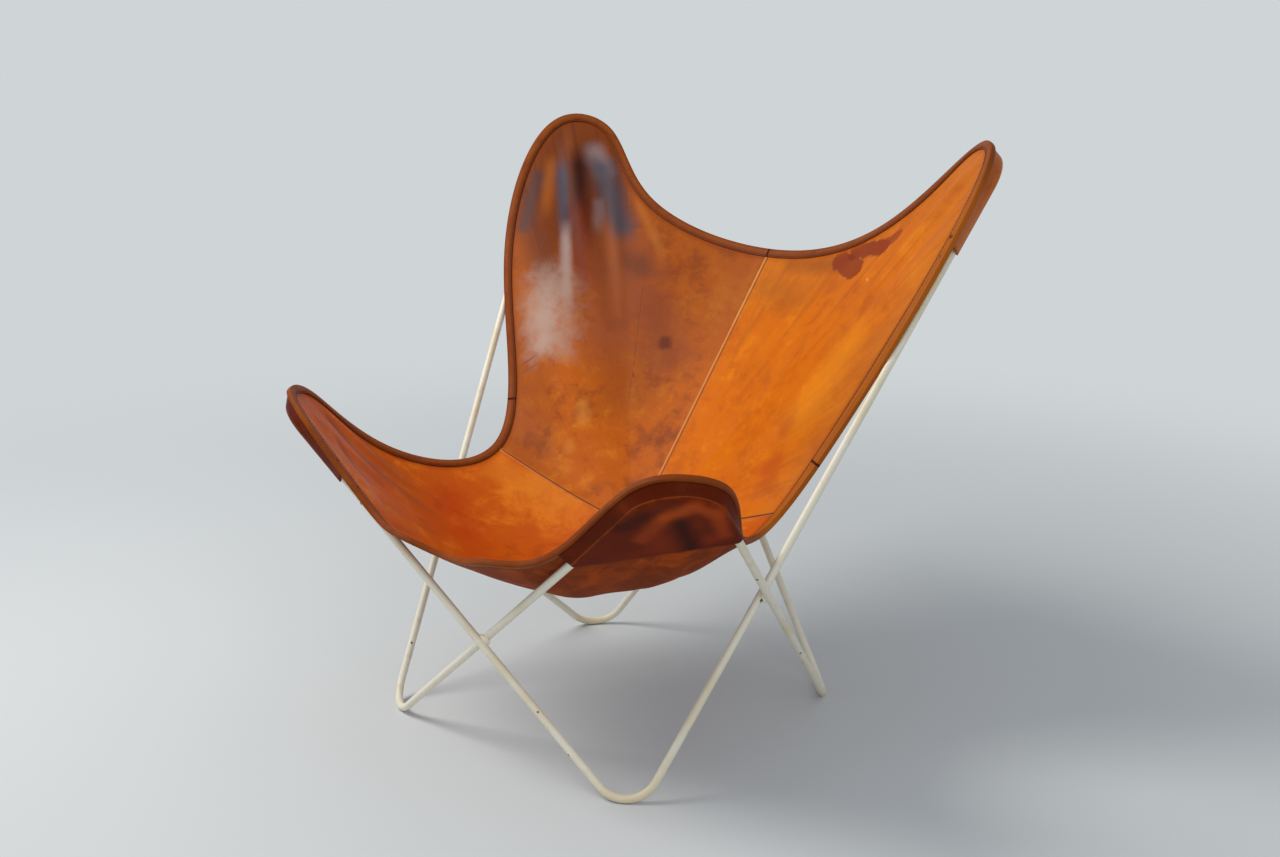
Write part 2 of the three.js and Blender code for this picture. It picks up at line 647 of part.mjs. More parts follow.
// A pocket: from the seam under the binding it wraps round the outside of the rod's bend and closes
// the space behind it, with its mouth across the two rods. Its columns stand at the rod's own steps.
function pocket(bend, [inner, outer], reach) {
  const radius = ROD_RADIUS + POCKET_EASE + POCKET_THICKNESS / 2;
  const bendLength = bend.radius * bend.startOut.angleTo(bend.endOut);
  const steps = (from, to, count) => Array.from({ length: count }, (_, k) => {
    return THREE.MathUtils.lerp(from, to, k / count);
  });
  const travels = [
    ...steps(-reach.inner, 0, POCKET_STRAIGHT_STEPS),
    ...steps(0, bendLength, BEND_STEPS),
    ...steps(bendLength, bendLength + reach.outer, POCKET_STRAIGHT_STEPS),
    bendLength + reach.outer,
  ];
  const mouthEnds = [-reach.inner, bendLength + reach.outer].map((travel) => rodAt(bend, travel).centre);
  const middleOfMouth = mouthEnds[0].lerp(mouthEnds[1], 1 / 2);
  const mouth = along(middleOfMouth, bend.normal, -radius);
  const columns = travels.map((travel) => {
    const start = pocketStartAt(bend, inner, outer, travel);
    const { centre, out } = rodAt(bend, travel);
    const across = start.clone().sub(centre);
    const distance = Math.hypot(across.dot(out), across.dot(bend.normal));
    const startAngle = Math.atan2(across.dot(bend.normal), across.dot(out));
    const touch = startAngle - Math.acos(Math.min(1, radius / distance));
    const wrap = Array.from({ length: POCKET_WRAP_STEPS + 1 }, (_, step) => {
      const angle = THREE.MathUtils.lerp(touch, -Math.PI / 2, step / POCKET_WRAP_STEPS);
      const normal = out.clone().multiplyScalar(Math.cos(angle)).addScaledVector(bend.normal, Math.sin(angle));
      return { point: along(centre, normal, radius), normal };
    });
    const under = wrap[POCKET_WRAP_STEPS];
    const behind = [...POCKET_PANEL_SHARES, 1].map((share) => {
      return { point: under.point.clone().lerp(mouth, share), normal: under.normal };
    });
    return [{ point: start, normal: wrap[0].normal }, ...wrap, ...behind].reverse();
  });
  const rows = columns[0].map((_, i) => columns.map((column) => column[i].point));
  const normals = columns[0].map((_, i) => columns.map((column) => column[i].normal));
  return sheet(rows, normals, POCKET_THICKNESS);
}

// The whole chair
function chair() {
  const parts = [];
  const add = (name, geometry, material) => {
    const mesh = new THREE.Mesh(geometry, material);
    mesh.name = name;
    parts.push(mesh);
  };
  add('frame_loop_low_right', frameLoop(1), paint);
  add('frame_loop_low_left', frameLoop(-1), paint);
  const rod = straightRod;
  add('weld_front', weldBead(rod(1, 'lowFront'), rod(-1, 'lowFront')), paint);
  add('weld_back', weldBead(rod(1, 'highBack'), rod(-1, 'highBack')), paint);
  add('weld_right', weldBead(rod(1, 'lowBack'), rod(-1, 'highFront')), paint);
  add('weld_left', weldBead(rod(-1, 'lowBack'), rod(1, 'highFront')), paint);

  const whole = 2 * HALF_COLUMNS;
  const backColumns = HALF_COLUMNS - SIDE_COLUMN;
  add('seat_panel', leatherPanel(whole - SIDE_COLUMN, 2 * SIDE_COLUMN, 0, -1), seatLeather);
  add('back_panel_right', leatherPanel(SIDE_COLUMN, backColumns, 1, 1), backLeather);
  add('back_panel_left', leatherPanel(HALF_COLUMNS, backColumns, -1, 1), backLeather);

  const joint = SIDE_COLUMN + BINDING_JOINT_COLUMNS;
  add('binding_front', binding(whole - joint, 2 * joint), bindingLeather);
  add('binding_back_right', binding(joint, HALF_COLUMNS - joint), bindingLeather);
  add('binding_back_left', binding(HALF_COLUMNS, HALF_COLUMNS - joint), bindingLeather);

  add('seam_strip_right', seamStrip(SIDE_COLUMN), seamLeather);
  add('seam_strip_left', seamStrip(whole - SIDE_COLUMN), seamLeather);
  add('seam_strip_back', seamStrip(HALF_COLUMNS), seamLeather);

  [['right', 1], ['left', -1]].forEach(([word, side]) => {
    const place = (i) => EDGE.knots[side > 0 ? i : EDGE_POINTS.length - i];
    const lowReach = side > 0 ? LOW_RIGHT_POCKET : LOW_LEFT_POCKET;
    const low = pocket(LOOPS.get(side).low, [2, 6].map(place), lowReach);
    const high = pocket(LOOPS.get(-side).high, [12, 8].map(place), HIGH_POCKET);
    add(`pocket_low_${word}`, low, pocketLeather);
    add(`pocket_high_${word}`, high, pocketLeather);
  });

  // The middle of the outline goes over the origin
  const group = new THREE.Group();
  group.add(...parts);
  const middle = new THREE.Box3().setFromObject(group).getCenter(new THREE.Vector3());
  group.position.set(-middle.x, -middle.y, 0);
  return group;
}

export default chair();
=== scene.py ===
import math

import bpy
import numpy as np
from mathutils import Matrix


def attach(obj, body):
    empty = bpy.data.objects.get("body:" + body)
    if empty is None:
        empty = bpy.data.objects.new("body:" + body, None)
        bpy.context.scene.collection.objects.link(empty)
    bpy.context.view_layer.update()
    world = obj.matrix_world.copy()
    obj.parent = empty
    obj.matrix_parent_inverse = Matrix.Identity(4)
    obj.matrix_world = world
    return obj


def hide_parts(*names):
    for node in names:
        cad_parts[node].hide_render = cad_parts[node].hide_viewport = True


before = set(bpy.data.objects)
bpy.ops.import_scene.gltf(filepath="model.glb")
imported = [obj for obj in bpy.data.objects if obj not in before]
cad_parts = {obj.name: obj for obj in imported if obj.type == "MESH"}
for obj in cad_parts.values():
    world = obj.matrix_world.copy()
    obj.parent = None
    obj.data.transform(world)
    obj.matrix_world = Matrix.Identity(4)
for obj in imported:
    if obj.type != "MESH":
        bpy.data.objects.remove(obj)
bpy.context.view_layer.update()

# Lengths are in millimetres up to the meshes, and MM turns them to metres there
MM = 0.001
SHIFT = np.array((-0.003, -37.241, 0.0))

# The steel rods' radius, half their distance where they cross and the feet's worn flat, and the corners where the
# rods would meet if the bends were sharp
ROD = 6.0
CROSSING = 6.3
FLAT = 0.4
LOW_CORNER = (430.5, 341.5, 558.5)
HIGH_CORNER = (483.5, 445.5, 981.0)
FRONT_FOOT_X, BACK_FOOT_X, FOOT_Y = 260.0, 245.7, 249.5
FOOT_RADIUS, LOW_RADIUS, HIGH_RADIUS = 50.0, 63.5, 57.5

# The leather: thicknesses, the band that the binding covers, the pockets under its tips, and the points that its
# edge goes through, with how round its hang is by each
LEATHER, POCKET = 3.2, 2.4
BAND = 14.0
POCKET_INSET, POCKET_DROP, POCKET_EASE = 2.6, 4.3, 0.5
LOW_RIGHT_REACH, LOW_LEFT_REACH, HIGH_REACH = (155.0, 77.0), (100.0, 77.0), (95.0, 110.0)
MEETING = np.array((0.0, 58.0, 285.5))
SLOPE = 0.84
LOW_TIP = {"rim": (13, 9), "inner": (186, 28, 2), "outer": (122, -9, 20)}
HIGH_TIP = {"rim": (9.4, 11.8), "inner": (131, 19.6, 36), "outer": (231, 10.4, 5)}
FRONT_EDGE = (0.0, -339.0, 334.0)
QUARTER_EDGE = (84.0, -354.5, 352.0)
SIDE_EDGE = (294.0, 41.0, 364.5)
BACK_EDGE = (0.0, 413.5, 676.0)
FRONT_ROUND, LOW_ROUND, SIDE_ROUND = 0.75, (1.05, 1.4, 1.7, 1.7, 1.7), 0.3
HIGH_ROUND, BACK_ROUND = (0.25,) * 5, 0.1
FOLDS, LOW_FOLD, HIGH_FOLD = 3, 3.5, 5.0


def unit(v):
    """Each vector divided by its length."""
    return v / np.linalg.norm(v, axis=-1, keepdims=True)


def dot(a, b):
    """Inner product over the last axis, which is kept."""
    return (a * b).sum(-1, keepdims=True)


def smooth(low, high, value):
    """0 up to low, 1 from high, and 3t^2 - 2t^3 between them."""
    t = np.clip((value - low) / (high - low), 0, 1)
    return t * t * (3 - 2 * t)


class Bend:
    """A corner between two straight rods, rounded to an arc in the plane of both."""

    def __init__(self, corner, before, after, radius):
        self.to_start, self.to_end = unit(before - corner), unit(after - corner)
        half = math.acos(self.to_start @ self.to_end) / 2
        self.radius = radius
        self.middle = corner + unit(self.to_start + self.to_end) * radius / math.sin(half)
        self.start = corner + self.to_start * radius / math.tan(half)
        self.end = corner + self.to_end * radius / math.tan(half)
        self.start_out, self.end_out = unit(self.start - self.middle), unit(self.end - self.middle)
        self.angle = math.acos(self.start_out @ self.end_out)
        self.length = radius * self.angle
        normal = unit(np.cross(self.to_start, self.to_end))
        self.normal = normal * (1 if (MEETING - corner) @ normal > 0 else -1)

    def outward(self, share):
        """Direction from the arc's middle at a share of the arc: the two end directions, weighted by sines."""
        t = np.asarray(share, float)[..., None] * self.angle
        return unit(np.sin(self.angle - t) * self.start_out + np.sin(t) * self.end_out)

    def rod(self, travel):
        """Centre line and outward direction after a travel: the arc, run on straight at both of its ends."""
        travel = np.asarray(travel, float)
        out = self.outward(np.clip(travel / self.length, 0, 1))
        before = np.maximum(-travel, 0)[..., None] * self.to_start
        after = np.maximum(travel - self.length, 0)[..., None] * self.to_end
        return self.middle + out * self.radius + before + after, out

    def travel(self, point):
        """Travel of the rod's nearest place: past an end by the point's reach there, and by angle on the arc."""
        out = point - self.middle
        out = out - self.normal * dot(out, self.normal)
        inner = (out @ self.start_out) > (out @ self.end_out)
        past_start, past_end = (point - self.start) @ self.to_start, (point - self.end) @ self.to_end
        turn = np.arccos(np.clip(unit(out) @ self.start_out, -1, 1))
        straight = np.where(inner, -past_start, self.length + past_end)
        return np.where(np.where(inner, past_start, past_end) > 0, straight, self.radius * turn)


def corners(side):
    """Corners of one loop, the feet so low that their rod dips below the floor by the worn flat."""
    shift = side * CROSSING
    low = np.array((side * LOW_CORNER[0], shift - LOW_CORNER[1], LOW_CORNER[2]))
    high = np.array((-side * HIGH_CORNER[0], shift + HIGH_CORNER[1], HIGH_CORNER[2]))
    front = np.array((-side * FRONT_FOOT_X, shift - FOOT_Y, 0.0))
    back = np.array((side * BACK_FOOT_X, shift + FOOT_Y, 0.0))
    for foot in (front, back):
        for _ in range(30):
            bend = Bend(foot, low, high, FOOT_RADIUS)
            foot[2] += ROD - FLAT - (bend.middle[2] - FOOT_RADIUS * math.sqrt(1 - bend.normal[2] ** 2))
    return low, front, high, back


def loop_bends(side):
    """The four bends of a loop: low tip, front foot, high tip, back foot."""
    low, front, high, back = corners(side)
    return {
        "low": Bend(low, front, back, LOW_RADIUS),
        "front": Bend(front, low, high, FOOT_RADIUS),
        "high": Bend(high, back, front, HIGH_RADIUS),
        "back": Bend(back, high, low, FOOT_RADIUS),
    }


LOOPS = {side: loop_bends(side) for side in (1, -1)}


def tip_edge(bend, tip):
    """The leather's edge round a tip: a point beside the inner rod, three past the bend, one beside the outer rod."""
    rise = ROD + LEATHER / 2

    def beside(end, direction, out, sizes):
        reach, away, up = sizes
        return end + direction * reach + out * (ROD + away) + bend.normal * (rise + up)

    away, up = tip["rim"]
    past = bend.middle + bend.outward((0.12, 0.5, 0.88)) * (bend.radius + ROD + away)
    return [
        beside(bend.start, bend.to_start, bend.start_out, tip["inner"]),
        *(past + bend.normal * (rise + up)),
        beside(bend.end, bend.to_end, bend.end_out, tip["outer"]),
    ]


def edge_points():
    """Points that the leather's edge goes through, once round from the middle of the front, with their roundness."""
    def half(side):
        mirrored = np.array((side, 1, 1))
        low = tip_edge(LOOPS[side]["low"], LOW_TIP)
        high = tip_edge(LOOPS[-side]["high"], HIGH_TIP)[::-1]
        points = [mirrored * QUARTER_EDGE, *low, mirrored * SIDE_EDGE, *high]
        return list(zip(points, (FRONT_ROUND, *LOW_ROUND, SIDE_ROUND, *HIGH_ROUND)))

    every = [(np.array(FRONT_EDGE), FRONT_ROUND), *half(1), (np.array(BACK_EDGE), BACK_ROUND), *half(-1)[::-1]]
    return np.array([p for p, _ in every]), np.array([r for _, r in every])


POINTS, ROUNDS = edge_points()
STEPS = np.sqrt(np.linalg.norm(np.roll(POINTS, -1, 0) - POINTS, axis=1))
KNOTS = np.concatenate(([0], np.cumsum(STEPS)))
TOTAL = KNOTS[-1]


def spline_bends():
    """Second derivatives of the closed cubic spline at its points, from the equations that match the slopes."""
    n, before = len(POINTS), np.roll(STEPS, 1)
    system = np.diag(2 * (before + STEPS))
    rows = np.arange(n)
    system[rows, rows - 1] += before
    system[rows, (rows + 1) % n] += STEPS
    slope = (np.roll(POINTS, -1, 0) - POINTS) / STEPS[:, None]
    return np.linalg.solve(system, 6 * (slope - np.roll(slope, 1, 0)))


BENDS = spline_bends()


def edge_at(place):
    """The closed spline at places along it: the cubic that two points and their second derivatives set."""
    place = np.mod(place, TOTAL)
    i = np.clip(np.searchsorted(KNOTS, place, "right") - 1, 0, len(POINTS) - 1)
    j, step = (i + 1) % len(POINTS), STEPS[i]
    left, right = KNOTS[i + 1] - place, place - KNOTS[i]
    weights = (left ** 3 / (6 * step) - step * left / 6, right ** 3 / (6 * step) - step * right / 6,
               left / step, right / step)
    return sum(w[..., None] * v for w, v in zip(weights, (BENDS[i], BENDS[j], POINTS[i], POINTS[j])))


def hang(rim, share, roundness):
    """The leather between the seams' meeting point and its rim: straight out in plan, and in height the seat's
    slope times the share, plus a hyperbola of the share that bends up to the rim."""
    share, roundness = np.broadcast_arrays(share, roundness)
    bow = (np.sqrt(share ** 2 + roundness ** 2) - roundness) / (np.sqrt(1 + roundness ** 2) - roundness)
    sloped = SLOPE * (rim[..., 1] - MEETING[1])
    point = MEETING + (rim - MEETING) * share[..., None]
    point[..., 2] = MEETING[2] + sloped * share + (rim[..., 2] - MEETING[2] - sloped) * bow
    return point


class Edge:
    """Frames of the leather's edge at places along it: inward in the leather, up to the sitter's side."""

    def __init__(self, place):
        self.place = np.mod(place, TOTAL)
        step = TOTAL / 2000
        self.point = edge_at(self.place)
        self.ahead = unit(edge_at(self.place + step) - edge_at(self.place - step))
        i = np.clip(np.searchsorted(KNOTS, self.place, "right") - 1, 0, len(POINTS) - 1)
        before, after = ROUNDS[i], ROUNDS[(i + 1) % len(POINTS)]
        self.round = before + (after - before) * smooth(KNOTS[i], KNOTS[i + 1], self.place)
        inward = hang(self.point, 0.98, self.round) - self.point
        self.inward = unit(inward - self.ahead * dot(inward, self.ahead))
        self.up = unit(np.cross(self.ahead, self.inward))
        self.rim = self.point + self.inward * BAND


def lobes(place):
    """For places on the edge: how far across its lobe each lies, the lobe's normal, and its folds' height. Between
    lobes the height is 0."""
    place = np.mod(place, TOTAL)
    across, height = np.zeros_like(place), np.zeros_like(place)
    normal = np.tile((0.0, 0.0, 1.0), place.shape + (1,))
    for side in (1, -1):
        at = (lambda i: KNOTS[i]) if side > 0 else (lambda i: KNOTS[len(POINTS) - i])
        both = (2, 6, LOOPS[side]["low"], LOW_FOLD), (8, 12, LOOPS[-side]["high"], HIGH_FOLD)
        for start, end, bend, rise in both:
            share = (place - at(start)) / (at(end) - at(start))
            inside = (share > 0) & (share < 1)
            across[inside], height[inside] = share[inside], rise
            normal[inside] = bend.normal
    return across, normal, height


def leather_surface(place, share):
    """Middle surface of the sling on a grid of shares by places: the hang, three lengthwise folds in each lobe
    as a cosine across it."""
    edge = Edge(place)
    p = hang(edge.rim[None], share[:, None], edge.round[None])
    across, normal, height = lobes(place)
    rise = smooth(0.42, 0.78, share) * (1 - smooth(0.92, 1, share))
    fade = np.sin(np.pi * across) ** 2
    wave = np.cos(2 * np.pi * FOLDS * across)
    folded = (height * wave * fade)[None] * rise[:, None]
    return p - normal[None] * folded[..., None], edge


def grid_normals(p):
    """Unit normals of a grid of points, from differences along its rows and columns. The first row, where all the
    points are one, has none, and the caller sets it."""
    with np.errstate(invalid="ignore"):
        return unit(np.cross(np.gradient(p, axis=1), np.gradient(p, axis=0)))


def mesh_piece(name, points, faces, material, lay=None, near=None):
    """An object from points in millimetres and lists of faces, smooth, with its attributes."""
    mesh = bpy.data.meshes.new(name)
    mesh.from_pydata(((points + SHIFT) * MM).tolist(), [], faces)
    for label, values in (("lay", lay), ("near", near)):
        if values is not None:
            layer = mesh.attributes.new(label, "FLOAT_VECTOR", "POINT")
            layer.data.foreach_set("vector", np.asarray(values, np.float32).ravel())
    mesh.polygons.foreach_set("use_smooth", np.ones(len(mesh.polygons), bool))
    mesh.materials.append(material)
    mesh.validate()
    piece = bpy.data.objects.new(name, mesh)
    bpy.context.scene.collection.objects.link(piece)
    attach(piece, "root")
    return piece


def tidy_faces(quads):
    """Four-sided faces as lists, with corners that are the same point run together."""
    quads = np.asarray(quads)
    same = quads == np.roll(quads, -1, axis=1)
    plain = quads[~same.any(1)].tolist()
    merged = [[v for v, skip in zip(q, s) if not skip] for q, s in zip(quads[same.any(1)].tolist(), same[same.any(1)])]
    return plain + [f for f in merged if len(set(f)) > 2]


def renumbered(count, faces):
    """Which of the points the faces use, and the faces with those points numbered afresh."""
    used = np.zeros(count, bool)
    used[np.concatenate([np.asarray(f) for f in faces])] = True
    number = np.cumsum(used) - 1
    return used, [number[f].tolist() for f in faces]


def grid_quads(index):
    """Quads of a grid of point numbers, turned so that rows going away and columns going right face up."""
    return np.stack((index[:-1, :-1], index[1:, :-1], index[1:, 1:], index[:-1, 1:]), -1).reshape(-1, 4)


def sheet_faces(rows, columns):
    """Faces of a closed sheet whose first row is one point: a top and a bottom grid, and a wall round their border."""
    top = np.arange(rows * columns).reshape(rows, columns)
    top[0] = top[0, 0]
    low = top + rows * columns
    loop = [np.concatenate((g[0, :-1], g[:-1, -1], g[-1, :0:-1], g[:0:-1, 0])) for g in (top, low)]
    wall = np.stack((loop[0], np.roll(loop[0], -1), np.roll(loop[1], -1), loop[1]), -1)
    quads = np.concatenate((grid_quads(top), grid_quads(low)[:, ::-1], wall))
    return tidy_faces(quads)


def sheet_piece(name, middle, normals, thickness, material, lay, near):
    """A sheet of leather: the middle surface moved out by half its thickness to both sides."""
    rows, columns = middle.shape[:2]
    both = np.concatenate([(middle + s * normals * thickness / 2).reshape(-1, 3) for s in (1, -1)])
    side = np.repeat((1.0, 0.0), rows * columns)
    lay = np.tile(np.stack(lay, -1).reshape(-1, 2), (2, 1))
    near = np.tile(np.stack(near, -1).reshape(-1, 3), (2, 1))
    used, faces = renumbered(len(both), sheet_faces(rows, columns))
    lay = np.column_stack((lay, side))
    return mesh_piece(name, both[used], faces, material, lay[used], near[used])


def swept_faces(stations, sides, closed=False):
    """Faces of an outline carried along stations, open with end caps or closed on itself."""
    index = np.arange(stations * sides).reshape(stations, sides)
    index = np.column_stack((index, index[:, 0]))
    if closed:
        index = np.vstack((index, index[:1]))
    faces = grid_quads(index)[:, ::-1].tolist()
    if not closed:
        faces += [list(range(sides))[::-1], list(range((stations - 1) * sides, stations * sides))]
    return faces


class Wire:
    """An output of a shader node. Arithmetic with it adds Math nodes to its tree."""

    def __init__(self, tree, socket):
        self.tree, self.socket = tree, socket

    def node(self, kind, settings=None, inputs=None, output=0):
        """Adds a node: its settings first, then the values or links of its sockets."""
        made = self.tree.nodes.new(kind)
        for key, value in (settings or {}).items():
            setattr(made, key, value)
        for key, value in (inputs or {}).items():
            if isinstance(value, Wire):
                self.tree.links.new(value.socket, made.inputs[key])
            else:
                made.inputs[key].default_value = value
        return Wire(self.tree, made.outputs[output])

    def maths(self, operation, *values):
        """A Math node with the given operation on these values."""
        return self.node("ShaderNodeMath", {"operation": operation}, dict(enumerate(values)))

    def __add__(self, other): return self.maths("ADD", self, other)
    def __radd__(self, other): return self.maths("ADD", other, self)
    def __sub__(self, other): return self.maths("SUBTRACT", self, other)
    def __rsub__(self, other): return self.maths("SUBTRACT", other, self)
    def __mul__(self, other): return self.maths("MULTIPLY", self, other)
    def __abs__(self): return self.maths("ABSOLUTE", self)

    def fade(self, low, high):
        """0 at low and 1 at high, smoothly, and held beyond them."""
        return self.node("ShaderNodeMapRange", {"interpolation_type": "SMOOTHSTEP"}, {"Value": self, 1: low, 2: high})

    def noise(self, scale, detail=3.0, roughness=0.5, distortion=0.0):
        """Noise at these coordinates, in cells to the metre."""
        return self.node("ShaderNodeTexNoise", {}, {"Vector": self, "Scale": scale, "Detail": detail,
                                                    "Roughness": roughness, "Distortion": distortion})

    def blend(self, other, factor):
        """This colour turned into the other by a factor."""
        return self.node("ShaderNodeMix", {"data_type": "RGBA"}, {0: factor, 6: self, 7: other}, 2)

    def parts(self):
        """The three components of a vector."""
        split = self.node("ShaderNodeSeparateXYZ", {}, {0: self}).socket.node
        return [Wire(self.tree, s) for s in split.outputs]

    def stretched(self, *scale):
        """Coordinates multiplied axis by axis."""
        return self.node("ShaderNodeVectorMath", {"operation": "MULTIPLY"}, {0: self, 1: scale})

    def away(self, place):
        """Distance from a place."""
        return self.node("ShaderNodeVectorMath", {"operation": "DISTANCE"}, {0: self, 1: place}, "Value")

    def line(self, start, end):
        """Share of the way along a straight line where it is nearest, by an inner product, and the distance from it."""
        start, way = np.array(start), np.array(end) - np.array(start)
        along = self.node("ShaderNodeVectorMath", {"operation": "DOT_PRODUCT"}, {0: self, 1: way.tolist()}, "Value")
        share = along.node("ShaderNodeMapRange", {},
                           {"Value": along, 1: float(start @ way), 2: float((start + way) @ way)})
        foot = share.node("ShaderNodeVectorMath", {"operation": "MULTIPLY_ADD"},
                          {0: share, 1: way.tolist(), 2: start.tolist()})
        return share, self.away(foot)


def tone(red, green, blue):
    """A colour given as 0 to 255, in linear light."""
    c = np.array((red, green, blue)) / 255
    return (*np.where(c < 0.04045, c / 12.92, ((c + 0.055) / 1.055) ** 2.4).tolist(), 1.0)


def start_material(name):
    """A material with an empty tree: its shader, and its Object coordinates."""
    material = bpy.data.materials.new(name)
    material.use_nodes = True
    tree = material.node_tree
    shader = tree.nodes["Principled BSDF"]
    here = Wire(tree, tree.nodes.new("ShaderNodeTexCoord").outputs["Object"])
    return material, shader, here


def finish_material(shader, colour, roughness, height, distance, strength=1.0, **fixed):
    """Links the varying colour, roughness and bump height, and sets the rest on the shader itself."""
    tree = shader.id_data
    tree.links.new(colour.socket, shader.inputs["Base Color"])
    tree.links.new(roughness.socket, shader.inputs["Roughness"])
    bump = height.node("ShaderNodeBump", {}, {"Height": height, "Strength": strength, "Distance": distance})
    tree.links.new(bump.socket, shader.inputs["Normal"])
    for key, value in fixed.items():
        shader.inputs[key.replace("_", " ").title().replace("Ior", "IOR")].default_value = value


def grain(here):
    """Bump height of smooth saddle leather: fine pebbles, pores and long faint wrinkles."""
    pebbles = here.node("ShaderNodeTexVoronoi", {"feature": "DISTANCE_TO_EDGE"}, {"Vector": here, "Scale": 620.0})
    fine = here.noise(1100.0, 3.0, 0.6)
    wrinkles = here.noise(46.0, 5.0, 0.62, 1.2)
    return pebbles.fade(0.0, 0.16) * 0.22 + fine * 0.18 + wrinkles * 0.9


def stroke(here, stray, start, end, half, soft, wander):
    """1 along a line between two places in millimetres, and 0 beyond its soft sides, which stray from it. A long one
    also fades towards its ends."""
    start, end = np.array(start) * MM, np.array(end) * MM
    share, away = here.line(start, end)
    mark = (away + (stray - 0.5) * (wander * MM)).fade((half + soft) * MM, max(half - soft, 0) * MM)
    long = np.linalg.norm(end - start) > 4 * (half + soft) * MM
    return mark * share.fade(0.0, 0.25) * share.fade(1.0, 0.6) if long else mark


def stained(here, stray, colour, strokes):
    """Strokes of other tones laid over a colour, each with its ends, half width, softness, wander and depth."""
    for start, end, half, soft, wander, stain, depth in strokes:
        colour = colour.blend(tone(*stain), stroke(here, stray, start, end, half, soft, wander) * depth)
    return colour


def seat_marks(here, lay, near, stray, colour, rough, height):
    """The seat's low left lobe: darker along its folds and in dark lines down it, painted shade, a pale line by its
    rim, a painted highlight, and its hollow burnished red.
    """
    run = lay.stretched(46.0, 3.0, 0.0).noise(1.0, 3.0, 0.6)
    folds = lay.parts()[1].fade(0.55, 0.9) * near.parts()[2].fade(0.0, 0.4)
    # Painted shade: darker streaks along the low left lobe's folds.
    colour = colour.blend(tone(160, 76, 16), run.fade(0.46, 0.64) * folds * 0.45)
    # In these strokes the dark lines down the low left lobe are painted shade, and the pale line by its rim is a
    # painted highlight.
    colour = stained(here, stray, colour, (
        ((-186, -164, 273), (-249, -145, 306), 30, 34, 30, (188, 58, 0), 0.6),
        ((-194, -219, 294), (-120, -200, 262), 24, 28, 26, (192, 68, 0), 0.5),
        ((-400, -290, 480), (-250, -245, 335), 5, 9, 6, (108, 44, 18), 0.6),
        ((-330, -262, 405), (-200, -190, 290), 12, 18, 14, (150, 62, 10), 0.5),
        ((-375, -240, 430), (-262, -197, 323), 9, 14, 12, (156, 72, 20), 0.5),
        ((-340, -320, 452), (-160, -338, 338), 4, 6, 6, (176, 126, 104), 0.6),
        ((-350, -305, 455), (-215, -322, 362), 4, 7, 6, (112, 46, 20), 0.5),
        ((-253, -26, 336), (-140, -3, 301), 20, 26, 24, (222, 132, 30), 0.5),
        ((-200, 10, 330), (-90, 30, 296), 12, 18, 20, (224, 136, 40), 0.4),
    ))
    return colour, rough - folds * 0.06, height


